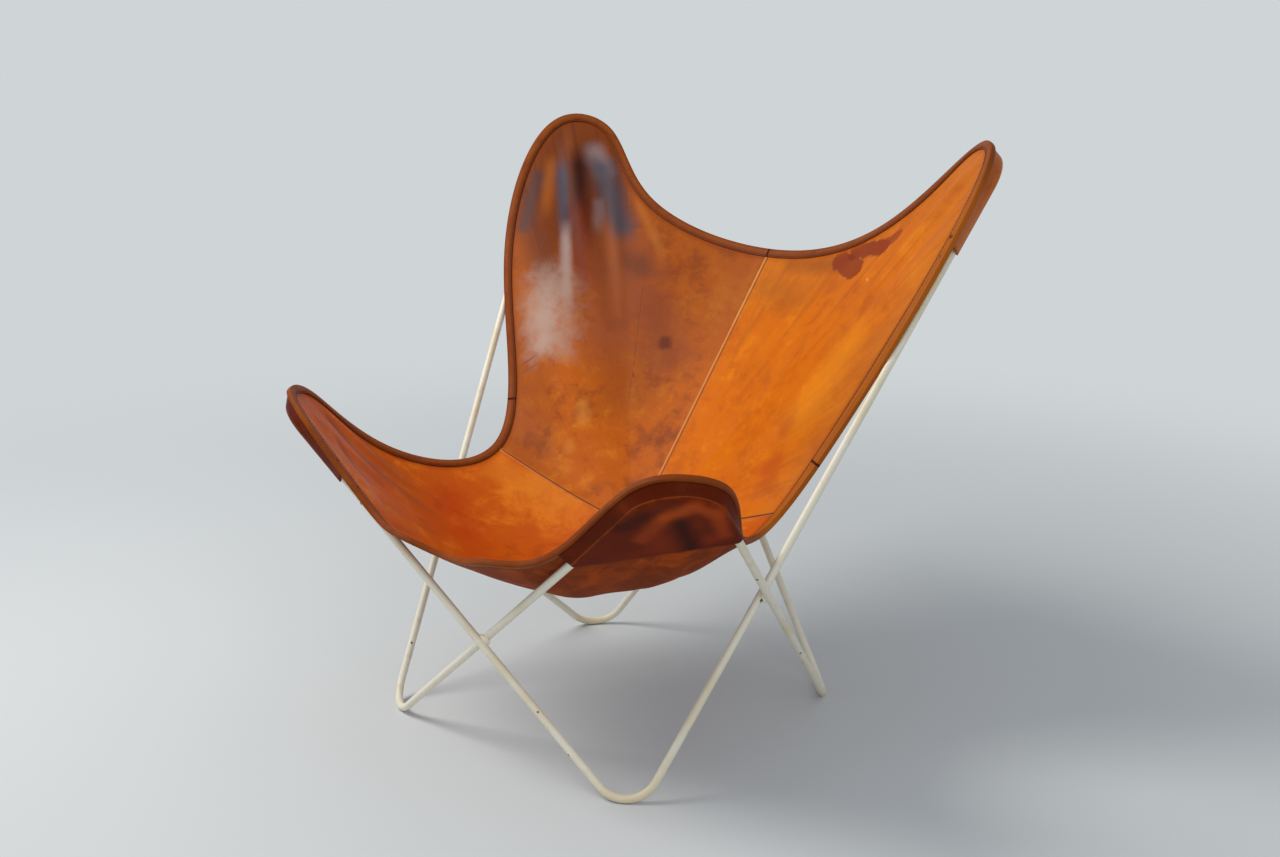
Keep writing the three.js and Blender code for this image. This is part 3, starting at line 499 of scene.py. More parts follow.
def left_back_marks(here, lay, near, stray, colour, rough, height):
    """The back's left panel: its high lobe darker, with dark streaks down its folds, painted shade in their valleys,
    and slate and pale streaks there, painted reflections and highlights, a pale painted sheen below them, a round
    stain, scratches by the side, a crease with painted shade along it, and rubbed spots near the seat."""
    share, lobe = lay.parts()[1], near.parts()[2]
    high = share.fade(0.62, 0.82) * lobe.fade(0.0, 0.45)
    run = lay.stretched(44.0, 1.6, 0.0).noise(1.0, 2.0, 0.5)
    colour = colour.blend(tone(150, 72, 22), share.fade(0.45, 0.85) * 0.6)
    colour = colour.blend(tone(112, 52, 24), high * 0.8)
    colour = colour.blend(tone(124, 54, 16), here.noise(13.0, 5.0, 0.7).fade(0.50, 0.66) * 0.55)
    # Painted shade: dark streaks down the high lobe's folds.
    colour = colour.blend(tone(96, 46, 28), run.fade(0.48, 0.66) * high * 0.5)
    crease = stroke(here, stray, (-200, 290, 650), (-90, 100, 385), 0.7, 1.4, 5)
    # Among these strokes the darkest down the high lobe's folds are painted shade in their valleys, the slate, grey and
    # pale ones there are painted reflections and highlights, and the pale ones lower down are a painted sheen.
    colour = stained(here, stray, colour, (
        ((-300, 250, 690), (-120, 150, 470), 44, 60, 40, (122, 58, 28), 0.5),
        ((-246, 281, 665), (-89, 217, 515), 30, 52, 70, (140, 70, 44), 0.6),
        ((-246, 281, 665), (-203, 179, 539), 36, 52, 70, (146, 78, 50), 0.5),
        ((-149, 263, 591), (-100, 215, 520), 20, 30, 50, (128, 60, 30), 0.45),
        ((-201, 284, 640), (-227, 277, 647), 14, 24, 24, (104, 58, 40), 0.55),
        ((-420, 255, 782), (-404, 200, 702), 5, 20, 12, (84, 62, 62), 0.8),
        ((-424, 293, 825), (-370, 215, 705), 6, 12, 8, (172, 94, 36), 0.75),
        ((-408, 299, 822), (-322, 218, 668), 7, 13, 7, (72, 74, 88), 0.95),
        ((-394, 330, 846), (-290, 220, 648), 13, 18, 9, (54, 18, 8), 1.0),
        ((-356, 285, 765), (-236, 170, 552), 10, 20, 14, (112, 38, 10), 0.85),
        ((-352, 248, 722), (-260, 150, 548), 3, 13, 8, (186, 164, 158), 0.75),
        ((-366, 343, 820), (-338, 336, 790), 2, 30, 18, (150, 136, 140), 0.7),
        ((-342, 338, 792), (-268, 302, 702), 10, 32, 22, (76, 72, 82), 0.9),
        ((-330, 310, 750), (-290, 262, 685), 2, 16, 12, (150, 136, 138), 0.45),
        ((-285, 353, 765), (-162, 300, 636), 5, 10, 8, (186, 106, 42), 0.6),
        ((-312, 295, 728), (-184, 227, 569), 7, 16, 14, (160, 88, 40), 0.4),
        ((-322, 150, 590), (-296, 121, 530), 4, 60, 80, (188, 162, 146), 0.55),
        ((-304, 150, 580), (-284, 122, 530), 2, 34, 50, (196, 176, 168), 0.4),
        ((-294, 182, 610), (-253, 127, 518), 3, 44, 60, (182, 150, 132), 0.5),
        ((-336, 184, 630), (-304, 172, 604), 3, 36, 50, (172, 146, 136), 0.4),
        ((-324, 92, 478), (-283, 110, 507), 1.4, 1.6, 3, (104, 74, 78), 0.8),
        ((-316, 86, 466), (-278, 104, 494), 1.0, 1.4, 3, (112, 76, 76), 0.7),
        ((-322, 100, 492), (-292, 112, 512), 1.0, 1.4, 3, (104, 74, 78), 0.6),
        ((-106, 227, 531), (-102, 223, 527), 11, 6, 18, (98, 42, 24), 0.8),
        ((-131, 172, 482), (-127, 168, 478), 2, 1.5, 4, (110, 40, 20), 0.7),
        ((-178, 96, 436), (-166, 86, 414), 6, 12, 14, (222, 148, 62), 0.4),
        ((-176, 61, 377), (-171, 56, 370), 4, 12, 12, (222, 148, 62), 0.35),
    ))
    # Painted shade along the crease, beside its bump.
    colour = colour.blend(tone(120, 66, 34), crease * 0.5)
    return colour, rough - high * 0.12, height - crease * 0.8


def right_back_marks(here, lay, near, stray, colour, rough, height):
    """The back's right panel: bright and golden low down, where a pool of light is painted down its valley, browner by
    its top edge, with a ragged dark blot, small pale scratches and two smudges."""
    share = lay.parts()[1]
    run = lay.stretched(36.0, 2.0, 0.0).noise(1.0, 3.0, 0.6)
    colour = colour.blend(tone(198, 112, 30), share.fade(0.78, 0.98) * 0.55)
    colour = colour.blend(tone(180, 92, 14), run.fade(0.46, 0.66) * share.fade(0.5, 0.8) * 0.5)
    colour = colour.blend(tone(178, 82, 6), here.noise(13.0, 5.0, 0.7).fade(0.50, 0.66) * 0.5)
    ragged = here.noise(70.0, 4.0, 0.7)
    colour = stained(here, ragged, colour, (
        ((60, 355, 665), (181, 322, 680), 14, 18, 24, (150, 78, 20), 0.6),
        ((30, 330, 622), (110, 296, 620), 22, 28, 40, (158, 86, 22), 0.45),
        ((170, 330, 684), (222, 300, 676), 18, 2, 24, (132, 46, 12), 0.85),
        ((200, 332, 700), (262, 308, 716), 16, 2, 24, (126, 42, 12), 0.85),
        ((256, 312, 714), (286, 312, 735), 12, 2, 18, (146, 54, 14), 0.8),
        ((262, 268, 674), (268, 258, 668), 0.6, 0.9, 4, (248, 210, 150), 0.8),
        ((266, 254, 664), (284, 240, 664), 0.8, 0.9, 5, (248, 210, 150), 0.8),
        ((257, 258, 657), (262, 250, 652), 0.6, 0.8, 4, (240, 196, 130), 0.6),
        ((246, 94, 476), (238, 86, 462), 9, 6, 20, (182, 74, 6), 0.7),
        ((240, 66, 424), (226, 60, 408), 13, 8, 22, (196, 84, 6), 0.7),
        # Painted light: a bright pool down the panel's valley towards the seat.
        ((340, 190, 650), (230, 60, 420), 26, 30, 24, (240, 146, 10), 0.5),
    ))
    return colour, rough, height


def pocket_marks(here, lay, near, stray, colour, rough, height):
    """A pocket: a painted highlight along the ridge where it bends over the rod with a painted lit band below it,
    painted shade from under the rod on towards its mouth, and on the one at the front red and orange painted light
    under the rod, with painted shade in deep brown hollows."""
    turn = near.parts()[2]
    # Painted shade from under the rod to the mouth, a painted highlight on the ridge where the pocket meets the rod,
    # and a painted lit band just below it.
    colour = colour.blend(tone(92, 24, 2), turn.fade(0.25, 0.9) * 0.55)
    colour = colour.blend(tone(176, 92, 44), abs(turn + 0.02).fade(0.08, 0.01) * stray.fade(0.25, 0.55) * 0.6)
    colour = colour.blend(tone(160, 76, 26), abs(turn - 0.22).fade(0.16, 0.02) * stray.fade(0.45, 0.62) * 0.4)
    # On the front pocket: red and orange painted light under the rod, and painted shade in the deep brown hollows.
    colour = stained(here, stray, colour, (
        ((306, -321, 415), (351, -330, 456), 5, 16, 14, (158, 62, 12), 0.7),
        ((351, -330, 456), (389, -319, 475), 7, 15, 12, (172, 70, 12), 0.85),
        ((389, -319, 475), (403, -287, 461), 6, 13, 12, (168, 66, 12), 0.85),
        ((403, -287, 461), (385, -249, 420), 5, 12, 12, (160, 60, 10), 0.8),
        ((318, -314, 419), (310, -286, 391), 8, 18, 16, (132, 44, 8), 0.6),
        ((367, -255, 411), (385, -249, 420), 6, 16, 14, (138, 46, 8), 0.6),
        ((358, -308, 444), (341, -265, 399), 8, 18, 16, (44, 8, 2), 0.85),
        ((301, -357, 438), (339, -352, 463), 8, 16, 16, (48, 10, 2), 0.7),
    ))
    return colour, rough - turn.fade(-0.3, 0.0) * 0.06, height


# Where the binding is torn to its pale fibres at the pockets' mouths, and how widely, in millimetres
TORN = (((-248, -372, 429), 4.5), ((-207, -369, 394), 4.5), ((441, 210, 760), 4.0), ((434, 193, 733), 3.5))


def binding_marks(here, lay, near, stray, colour, rough, height):
    """The binding: painted light up the right side, a painted highlight on its crown, painted shade along the sewn
    groove and its inner edge, cut at the joints, and torn where the pockets' mouths pull at it."""
    inward = lay.parts()[1]
    ends = near.parts()[0]
    x, y, _ = here.parts()
    # Painted light up the right side, a painted highlight on the crown, and painted shade in the sewn groove and along
    # the inner edge.
    painted_light_right = x.fade(0.20, 0.30) * y.fade(0.33, 0.22) * y.fade(-0.10, -0.02)
    colour = colour.blend(tone(222, 124, 26), painted_light_right * 0.8)
    colour = colour.blend(tone(180, 100, 38), abs(inward - 0.0035).fade(0.0045, 0.0005) * stray.fade(0.3, 0.6) * 0.6)
    colour = colour.blend(tone(70, 32, 14), abs(inward - 0.0106).fade(0.0014, 0.0004) * 0.75)
    colour = colour.blend(tone(58, 26, 12), inward.fade(0.0122, 0.0131) * 0.8)
    colour = colour.blend(tone(48, 22, 12), ends.fade(0.0018, 0.0006) * 0.9)
    for place, size in TORN:
        away = here.away((np.array(place) * MM).tolist()) + (stray - 0.5) * 0.012
        torn = away.fade(size * MM + 0.0012, size * MM)
        fibres = away.fade(size * 0.7 * MM, size * 0.45 * MM)
        colour = colour.blend(tone(58, 30, 20), torn * 0.8).blend(tone(214, 190, 160), fibres * 0.8)
        rough, height = rough + torn * 0.3, height - torn * 0.8
    return colour, rough, height


def back_seam_marks(here, lay, near, stray, colour, rough, height):
    """The raised back seam: a painted highlight on its ridge and painted shade in the fold at its right side."""
    across = lay.parts()[1]
    colour = colour.blend(tone(236, 170, 104), abs(across).fade(0.0018, 0.0008) * 0.45)
    return colour.blend(tone(112, 56, 24), abs(across - 0.0026).fade(0.0014, 0.0005) * 0.65), rough, height


def side_seam_marks(here, lay, near, stray, colour, rough, height):
    """A side seam: a dark line where the two panels meet, painted shade of a groove between them."""
    across = lay.parts()[1]
    return colour.blend(tone(74, 30, 12), abs(across - 0.0004).fade(0.0016, 0.0008) * 0.9), rough, height


def leather(name, tones, marks, shine=0.2):
    """Saddle leather with a patina: three tones in clouds, mottled finely, drawn out along the pull of the sling,
    darker by the edge and the seams, a rougher flesh side that is darker as painted shade of the underside, and its
    marks, some of them painted light and shade."""
    material, shader, here = start_material(name)
    light, middle, dark = (tone(*t) for t in tones)
    lay = here.node("ShaderNodeAttribute", {"attribute_name": "lay"}, {}, "Vector")
    near = here.node("ShaderNodeAttribute", {"attribute_name": "near"}, {}, "Vector")
    _, share, side = lay.parts()
    seam, edge, _ = near.parts()
    clouds = here.noise(5.0, 5.0, 0.62, 0.5)
    mottle = here.noise(24.0, 6.0, 0.68, 0.6)
    specks = here.noise(150.0, 4.0, 0.65)
    pull = (lay.stretched(22.0, 3.0, 0.0).noise(1.0, 3.0, 0.55) - 0.5) * share.fade(0.2, 0.7) + 0.5
    ground = here.node("ShaderNodeRGB", {}, {})
    ground.socket.default_value = middle
    colour = ground.blend(light, (clouds * 0.45 + mottle * 0.35 + pull * 0.2).fade(0.49, 0.62) * 0.9)
    colour = colour.blend(dark, (clouds * 0.4 + mottle * 0.35 + pull * 0.25).fade(0.48, 0.38) * 0.7)
    colour = colour.blend(dark, specks.fade(0.57, 0.7) * 0.3)
    height = grain(here)
    rough = 0.40 + mottle * 0.2
    stray = here.noise(34.0, 4.0, 0.65)
    colour, rough, height = marks(here, lay, near, stray, colour, rough, height)
    # The flesh side is darker as painted shade of the sling's underside.
    flesh_painted_shade = ground.blend(dark, 0.8).blend(tone(96, 36, 6), mottle.fade(0.7, 0.4) * 0.7)
    colour = colour.blend(dark, edge.fade(0.026, 0.014) * 0.45 * side)
    suede = here.noise(420.0, 4.0, 0.7)
    colour = flesh_painted_shade.blend(colour, side.fade(0.3, 0.7))
    colour = colour.blend(tone(62, 26, 10), seam.fade(0.0030, 0.0016) * 0.75)
    rough = rough * side + (1.0 - side) * (0.66 + suede * 0.2)
    height = height + (1.0 - side) * suede * 0.5
    finish_material(shader, colour, rough, height, 0.0007, 0.6, specular_ior_level=shine,
                    coat_weight=shine * 0.12, coat_roughness=0.24)
    return material


# Where the paint is knocked off the rods, and how widely, in millimetres
NICKS = (((-279, -212, 81), 2.0), ((106, -318, 110), 1.6), ((369, -170, 356), 1.8))


def paint_material():
    """Cream paint on steel: slightly yellowed in patches, finely dimpled, chipped to dark metal in small nicks."""
    material, shader, here = start_material("cream_paint")
    patches = here.noise(9.0, 3.0, 0.55)
    dirt = here.noise(60.0, 4.0, 0.6)
    ground = here.node("ShaderNodeRGB", {}, {})
    ground.socket.default_value = tone(228, 222, 204)
    colour = ground.blend(tone(219, 203, 166), patches.fade(0.45, 0.68) * 0.75)
    colour = colour.blend(tone(188, 178, 158), dirt.fade(0.56, 0.74) * 0.35)
    ragged = here.noise(420.0, 3.0, 0.7)
    cells = here.node("ShaderNodeTexVoronoi", {},
                      {"Vector": here.stretched(1.0, 1.0, 0.6), "Scale": 30.0, "Randomness": 1.0})
    chips = (cells + ragged * 0.09).fade(0.112, 0.100)
    for place, size in NICKS:
        away = here.away((np.array(place) * MM).tolist()) + ragged * 0.003
        chips = chips.maths("MAXIMUM", chips, away.fade(size * MM + 0.0016, size * MM + 0.0012))
    floor = here.parts()[2].fade(0.0016, 0.0006)
    bare = chips.maths("MAXIMUM", chips, floor)
    colour = colour.blend(tone(84, 62, 46), bare)
    rough = 0.33 + dirt * 0.18 + bare * 0.2
    height = here.noise(900.0, 2.0, 0.5) * 0.25 + here.noise(90.0, 3.0, 0.5) * 0.5 - bare * 1.2
    finish_material(shader, colour, rough, height, 0.0004, 0.5, specular_ior_level=0.5)
    return material


def thread_material():
    """Waxed brown thread, lighter where it is rubbed."""
    material, shader, here = start_material("waxed_thread")
    rub = here.noise(300.0, 3.0, 0.6)
    ground = here.node("ShaderNodeRGB", {}, {})
    ground.socket.default_value = tone(92, 52, 26)
    colour = ground.blend(tone(150, 104, 62), rub.fade(0.5, 0.75))
    finish_material(shader, colour, 0.5 + rub * 0.2, rub, 0.0002, 0.5)
    return material


PAINT = paint_material()
SEAT_LEATHER = leather("seat_leather", ((224, 124, 20), (196, 86, 0), (160, 64, 2)), seat_marks, 0.12)
LEFT_LEATHER = leather("back_leather_left", ((214, 126, 26), (190, 94, 6), (138, 60, 8)), left_back_marks, 0.1)
RIGHT_LEATHER = leather("back_leather_right", ((232, 134, 8), (212, 108, 0), (182, 84, 2)), right_back_marks, 0.08)
HIGH_POCKET_LEATHER = leather("high_pocket_leather", ((224, 132, 44), (196, 102, 22), (150, 68, 14)), pocket_marks)
# The low pockets' leather is the pockets' leather made darker: painted shade, for they hang in shade under the rods.
LOW_POCKET_SHADED_LEATHER = leather("low_pocket_shaded_leather", ((138, 52, 6), (106, 32, 2), (66, 18, 2)), pocket_marks, 0.05)
BINDING_LEATHER = leather("binding_leather", ((168, 88, 28), (142, 66, 16), (104, 44, 10)), binding_marks, 0.08)
BACK_SEAM_LEATHER = leather("back_seam_leather", ((226, 150, 76), (208, 124, 50), (176, 96, 34)), back_seam_marks)
SIDE_SEAM_LEATHER = leather("side_seam_leather", ((218, 134, 60), (200, 108, 34), (168, 82, 22)), side_seam_marks)
THREAD = thread_material()


def rod_piece(name, side):
    """A closed loop of round rod: a circle carried along arcs and straights, worn flat where it meets the floor."""
    bends = LOOPS[side]
    centres = []
    for key, turned in (("low", True), ("front", False), ("high", True), ("back", False)):
        bend = bends[key]
        share = np.linspace(0, 1, 31)
        arc = bend.middle + bend.outward(share[::-1] if turned else share) * bend.radius
        centres.append(arc)
    path = []
    for i, arc in enumerate(centres):
        following = centres[(i + 1) % 4][0]
        straight = np.linspace(0, 1, 24)[1:-1, None]
        path += [arc, arc[-1] + (following - arc[-1]) * straight]
    path = np.concatenate(path)
    ahead = unit(np.roll(path, -1, 0) - np.roll(path, 1, 0))
    plane = unit(np.cross(path, np.roll(path, -1, 0)).sum(0))
    first = unit(np.cross(ahead, plane))
    second = np.cross(ahead, first)
    angle = np.linspace(0, 2 * np.pi, 28, endpoint=False)[None, :, None]
    points = path[:, None] + ROD * (first[:, None] * np.cos(angle) + second[:, None] * np.sin(angle))
    points = points.reshape(-1, 3)
    points[:, 2] = np.maximum(points[:, 2], 0)
    piece = mesh_piece(name, points, swept_faces(len(path), 28, closed=True), PAINT)
    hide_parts(name)
    return piece


def straight(side, name):
    """Start and direction of a straight rod by the bend that it leaves and the rod's place there."""
    bend = LOOPS[side][name[0]]
    return (bend.start, bend.to_start) if name[1] == "inner" else (bend.end, bend.to_end)


# A weld bead's half length, half width and half height
BEAD = (13.5, 8.4, 5.8)


def weld_piece(name, one, other):
    """A weld bead: an ellipsoid in the crossing of two rods, rippled across its length, and pinched where it
    runs out along them."""
    (p, d), (q, e) = straight(*one), straight(*other)
    c = d @ e
    s = (q - p) @ d, (q - p) @ e
    on_p, on_q = p + d * (s[0] - c * s[1]) / (1 - c * c), q + e * (c * s[0] - s[1]) / (1 - c * c)
    height, length = unit(on_q - on_p), unit(d + e * (1 if c > 0 else -1))
    width, middle = np.cross(height, length), (on_p + on_q) / 2
    u, v = np.meshgrid(np.linspace(0, 2 * np.pi, 48, endpoint=False), np.linspace(0, np.pi, 25))
    ripple = 1 + 0.05 * np.cos(v * 16) * np.sin(v)
    long, wide, high = BEAD
    out = (length * (long * np.cos(v))[..., None]
           + (width * (wide * ripple * np.sin(v) * np.cos(u))[..., None])
           + (height * (high * ripple * np.sin(v) * np.sin(u))[..., None]))
    index = np.arange(u.size).reshape(u.shape)
    index[0], index[-1] = index[0, 0], index[-1, 0]
    index = np.column_stack((index, index[:, 0]))
    used, faces = renumbered(u.size, tidy_faces(grid_quads(index)))
    piece = mesh_piece(name, (middle + out).reshape(-1, 3)[used], faces, PAINT)
    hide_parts(name)
    return piece


# Places on the edge of a side seam and of the back's middle, and the gap between panels at their seams
SIDE_SEAM, HALF, SEAM_GAP = KNOTS[7], KNOTS[13], 0.3


def panel_piece(name, start, end, columns, offset, material):
    """One panel: a stretch of the edge by shares from the meeting point, and the band to the very edge, which
    runs straight on inwards of it."""
    place = np.linspace(start, end, columns)
    share = np.linspace(0, 1, 72) ** 0.9
    middle, edge = leather_surface(place, share)
    band = edge.rim[None] + (edge.point - edge.rim)[None] * np.linspace(0, 1, 4)[1:, None, None]
    middle = np.concatenate((middle, band))
    normals = grid_normals(middle)
    normals *= np.sign(dot(normals[40:41], edge.up[None])).mean(axis=1, keepdims=True)
    pole = unit(normals[1].sum(0))
    normals[0] = pole
    blend = smooth(0, 1, np.clip((np.arange(len(middle)) - 68) / 4, 0, 1))[:, None, None]
    normals = unit(normals * (1 - blend) + edge.up[None] * blend)
    run = np.concatenate(([0], np.cumsum(np.linalg.norm(np.diff(edge.point, axis=0), axis=1))))
    rows = np.concatenate((share, 1 + np.arange(1, 4) / 30))
    lay = np.broadcast_arrays(run[None] * MM, rows[:, None])
    to_seam = np.minimum(*(np.linalg.norm(middle - middle[:, [k]], axis=-1) for k in (0, -1)))
    to_edge = np.linalg.norm(middle - edge.point[None], axis=-1)
    across = lobes(place)[0]
    near = np.broadcast_arrays(to_seam * MM, to_edge * MM, np.sin(np.pi * across)[None])
    piece = sheet_piece(name, middle + np.array(offset), normals, LEATHER, material, lay, near)
    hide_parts(name)
    return piece, middle, normals, edge


def pocket_start(edge):
    """Where a pocket is sewn on: under the binding, a little way in from the leather's edge."""
    return edge.point + edge.inward * POCKET_INSET - edge.up * POCKET_DROP


def pocket_piece(name, bend, inner, outer, reach):
    """A pocket: columns at even travels along the bent rod, each running from the sewn edge straight to the rod,
    round the outside of it, and flat on to the middle of the mouth, where the leather sags a little."""
    radius = ROD + POCKET_EASE + POCKET / 2
    inner_reach, outer_reach = reach
    travel = np.concatenate((np.linspace(-inner_reach, 0, 26)[:-1], np.linspace(0, bend.length, 60),
                             np.linspace(bend.length, bend.length + outer_reach, 20)[1:]))
    near, far = np.full_like(travel, inner), np.full_like(travel, outer)
    for _ in range(40):
        half = (near + far) / 2
        short = bend.travel(pocket_start(Edge(half))) < travel
        near, far = np.where(short, half, near), np.where(short, far, half)
    edge = Edge(near)
    start = pocket_start(edge)
    centre, out = bend.rod(travel)
    across = start - centre
    a, b = (across * out).sum(-1), across @ bend.normal
    touch = np.arctan2(b, a) - np.arccos(np.minimum(1, radius / np.hypot(a, b)))
    turn = touch + (-np.pi / 2 - touch) * np.linspace(0, 1, 16)[:, None]
    normal = out * np.cos(turn)[..., None] + bend.normal * np.sin(turn)[..., None]
    wrap = centre + normal * radius
    ends, _ = bend.rod(np.array((-inner_reach, bend.length + outer_reach)))
    mouth = ends.mean(0) - bend.normal * radius
    share = (np.linspace(0, 1, 26) ** 0.9)[1:, None, None]
    behind = wrap[-1:] + (mouth - wrap[-1:]) * share
    straight = start + (wrap[:1] - start) * np.linspace(0, 1, 8)[:-1, None, None]
    middle = np.concatenate((straight, wrap, behind))[::-1]
    normals = np.concatenate((np.repeat(normal[:1], 7, 0), normal, np.repeat(normal[-1:], 25, 0)))[::-1]
    run = np.concatenate(([0], np.cumsum(np.linalg.norm(np.diff(wrap[8], axis=0), axis=1))))
    depth = np.concatenate((np.zeros((1, len(travel))), np.cumsum(np.linalg.norm(np.diff(middle, axis=0), axis=-1), 0)))
    lay = np.broadcast_arrays(run[None] * MM, depth * MM)
    from_edge = np.linalg.norm(middle - middle[-1:], axis=-1)
    from_mouth = np.minimum(*(np.linalg.norm(middle - middle[:, [k]], axis=-1) for k in (0, -1)))
    turned = np.concatenate((np.linspace(-1, 0, 8)[:-1], np.linspace(0, 1, 16), 1 + share[:, 0, 0]))[::-1, None]
    near = np.broadcast_arrays(np.maximum(from_mouth, 3.2) * MM, from_edge * MM, turned)
    # The low pockets take the darker leather, which is painted shade.
    material = HIGH_POCKET_LEATHER if "high" in name else LOW_POCKET_SHADED_LEATHER
    piece = sheet_piece(name, middle, normals, POCKET, material, lay, near)
    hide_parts(name)
    return piece, middle, normals


# The binding: its wall, and its crown's height, depth inwards and nose outwards; and the stitches along it
BINDING_WALL, BINDING_SIZE = 0.9, (4.6, 13.2, -1.9)
STITCH, STITCH_IN, STITCH_HEIGHT, STITCH_LENGTH = 6.2, 10.6, 3.75, 4.2


def binding_outline():
    """The folded binding's section: a round roll over the edge with a slot for the leather in it, as points of
    (distance inwards, height)."""
    slot, crown, depth, nose = LEATHER / 2 + 0.35, *BINDING_SIZE
    t = np.linspace(0, 1, 15)
    wall = slot + BINDING_WALL
    upper = np.column_stack((depth - (depth - nose) * t, wall + (crown - wall) * np.sin(np.pi * t * 0.72 + 0.05)))
    roll = np.linspace(0.55, -0.55, 7) * np.pi / 2
    tip = np.column_stack((nose + 1.2 - 1.9 * np.cos(roll), upper[-1, 1] * np.sin(roll) / math.sin(0.55 * np.pi / 2)))
    lower = upper[::-1] * (1, -1)
    inside = np.array(((depth, -slot), (-0.4, -slot), (-0.4, slot), (depth, slot)))
    return np.concatenate((upper[:-1], tip, lower[1:], inside))


def binding_piece(name, start, end):
    """A length of binding: its section carried along the leather's edge, drawn in slightly at every stitch."""
    length = np.linalg.norm(np.diff(edge_at(np.linspace(start, end, 400)), axis=0), axis=1).sum()
    place = np.linspace(start, end, int(length / 2.6))
    edge = Edge(place)
    outline = binding_outline()
    run = np.concatenate(([0], np.cumsum(np.linalg.norm(np.diff(edge.point, axis=0), axis=1))))
    pull = 1 + 0.05 * np.cos(2 * np.pi * run / STITCH)[:, None] * np.exp(-((outline[:, 0] - STITCH_IN) / 2.5) ** 2)
    points = (edge.point[:, None] + edge.inward[:, None] * outline[:, :1]
              + edge.up[:, None] * (outline[None, :, 1] * pull)[..., None])
    rows = np.broadcast_arrays(run[:, None] * MM, outline[None, :, 0] * MM, np.ones((1, 1)))
    ends = np.minimum(run, run[-1] - run)[:, None] * MM
    near = np.broadcast_arrays(ends, np.abs(outline[None, :, 0] - 13) * MM, np.zeros((1, 1)))
    faces = swept_faces(len(place), len(outline))
    piece = mesh_piece(name, points.reshape(-1, 3), faces, BINDING_LEATHER,
                       np.stack(rows, -1).reshape(-1, 3), np.stack(near, -1).reshape(-1, 3))
    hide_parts(name)
    return piece


def stitch_piece(name, points, ahead, up):
    """Stitches: each a small capsule, pointed at both ends and bowed up in its middle, along the given direction."""
    rings, sides = 6, 6
    t = np.linspace(0, 1, rings)
    thick = 0.42 * np.sin(np.pi * (0.08 + 0.84 * t)) ** 0.5
    angle = np.linspace(0, 2 * np.pi, sides, endpoint=False)
    across = np.cross(ahead, up)
    bow = 0.35 * np.sin(np.pi * t)
    middle = (points[:, None] + ahead[:, None] * ((t - 0.5) * STITCH_LENGTH)[None, :, None]
              + up[:, None] * bow[None, :, None])
    ring = (across[:, None, None] * (thick[:, None] * np.cos(angle))[None, ..., None]
            + up[:, None, None] * (thick[:, None] * np.sin(angle))[None, ..., None])
    grid = middle[:, :, None] + ring
    index = np.arange(rings * sides).reshape(rings, sides)
    index = np.column_stack((index, index[:, 0]))
    one = grid_quads(index)[:, ::-1]
    many = (one[None] + (np.arange(len(points)) * rings * sides)[:, None, None]).reshape(-1, 4).tolist()
    starts = np.arange(len(points)) * rings * sides
    caps = [(s + np.arange(sides))[::-1].tolist() for s in starts]
    caps += [(s + (rings - 1) * sides + np.arange(sides)).tolist() for s in starts]
    piece = mesh_piece(name, grid.reshape(-1, 3), many + caps, THREAD)
    return piece


def strip_piece(name, column, panel):
    """The raised seam: a narrow rounded ridge on a low flat welt, carried from the meeting point to the band."""
    middle, normals = panel
    rows = slice(2, 72)
    line, up = middle[rows, column], normals[rows, column]
    ahead = unit(np.gradient(line, axis=0))
    across = unit(np.cross(ahead, up))
    up = np.cross(across, ahead)
    half = np.array((-3.4, -2.6, -1.5, -1.15, -0.6, 0.0, 0.6, 1.15, 1.5, 2.6, 3.4))
    rise = np.array((0.05, 0.45, 0.5, 1.0, 1.45, 1.6, 1.45, 1.0, 0.5, 0.45, 0.05))
    foot = LEATHER / 2 - 0.6
    outline = np.concatenate((np.column_stack((half, LEATHER / 2 + rise)), ((half[-1], foot), (half[0], foot))))
    taper = (1 - 0.45 * smooth(12, 0, np.arange(len(line))))[:, None]
    points = (line[:, None] + across[:, None] * (outline[:, 0] * taper)[..., None]
              + up[:, None] * outline[None, :, 1, None])
    run = np.concatenate(([0], np.cumsum(np.linalg.norm(np.diff(line, axis=0), axis=1))))
    lay = np.broadcast_arrays(run[:, None] * MM, outline[None, :, 0] * MM, np.ones((1, 1)))
    near = np.broadcast_arrays(np.full((1, 1), 1.0), np.full((1, 1), 1.0), np.zeros((len(line), len(outline))))
    piece = mesh_piece(name, points.reshape(-1, 3), swept_faces(len(line), len(outline)),
                       BACK_SEAM_LEATHER if "back" in name else SIDE_SEAM_LEATHER,
                       np.stack(lay, -1).reshape(-1, 3), np.stack(near, -1).reshape(-1, 3))
    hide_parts(name)
    return piece


def evenly(start, end, pitch):
    """Places on the leather's edge at an even distance from each other."""
    fine = np.linspace(start, end, 4000)
    run = np.concatenate(([0], np.cumsum(np.linalg.norm(np.diff(edge_at(fine), axis=0), axis=1))))
    return np.interp(np.arange(pitch / 2, run[-1], pitch), run, fine)


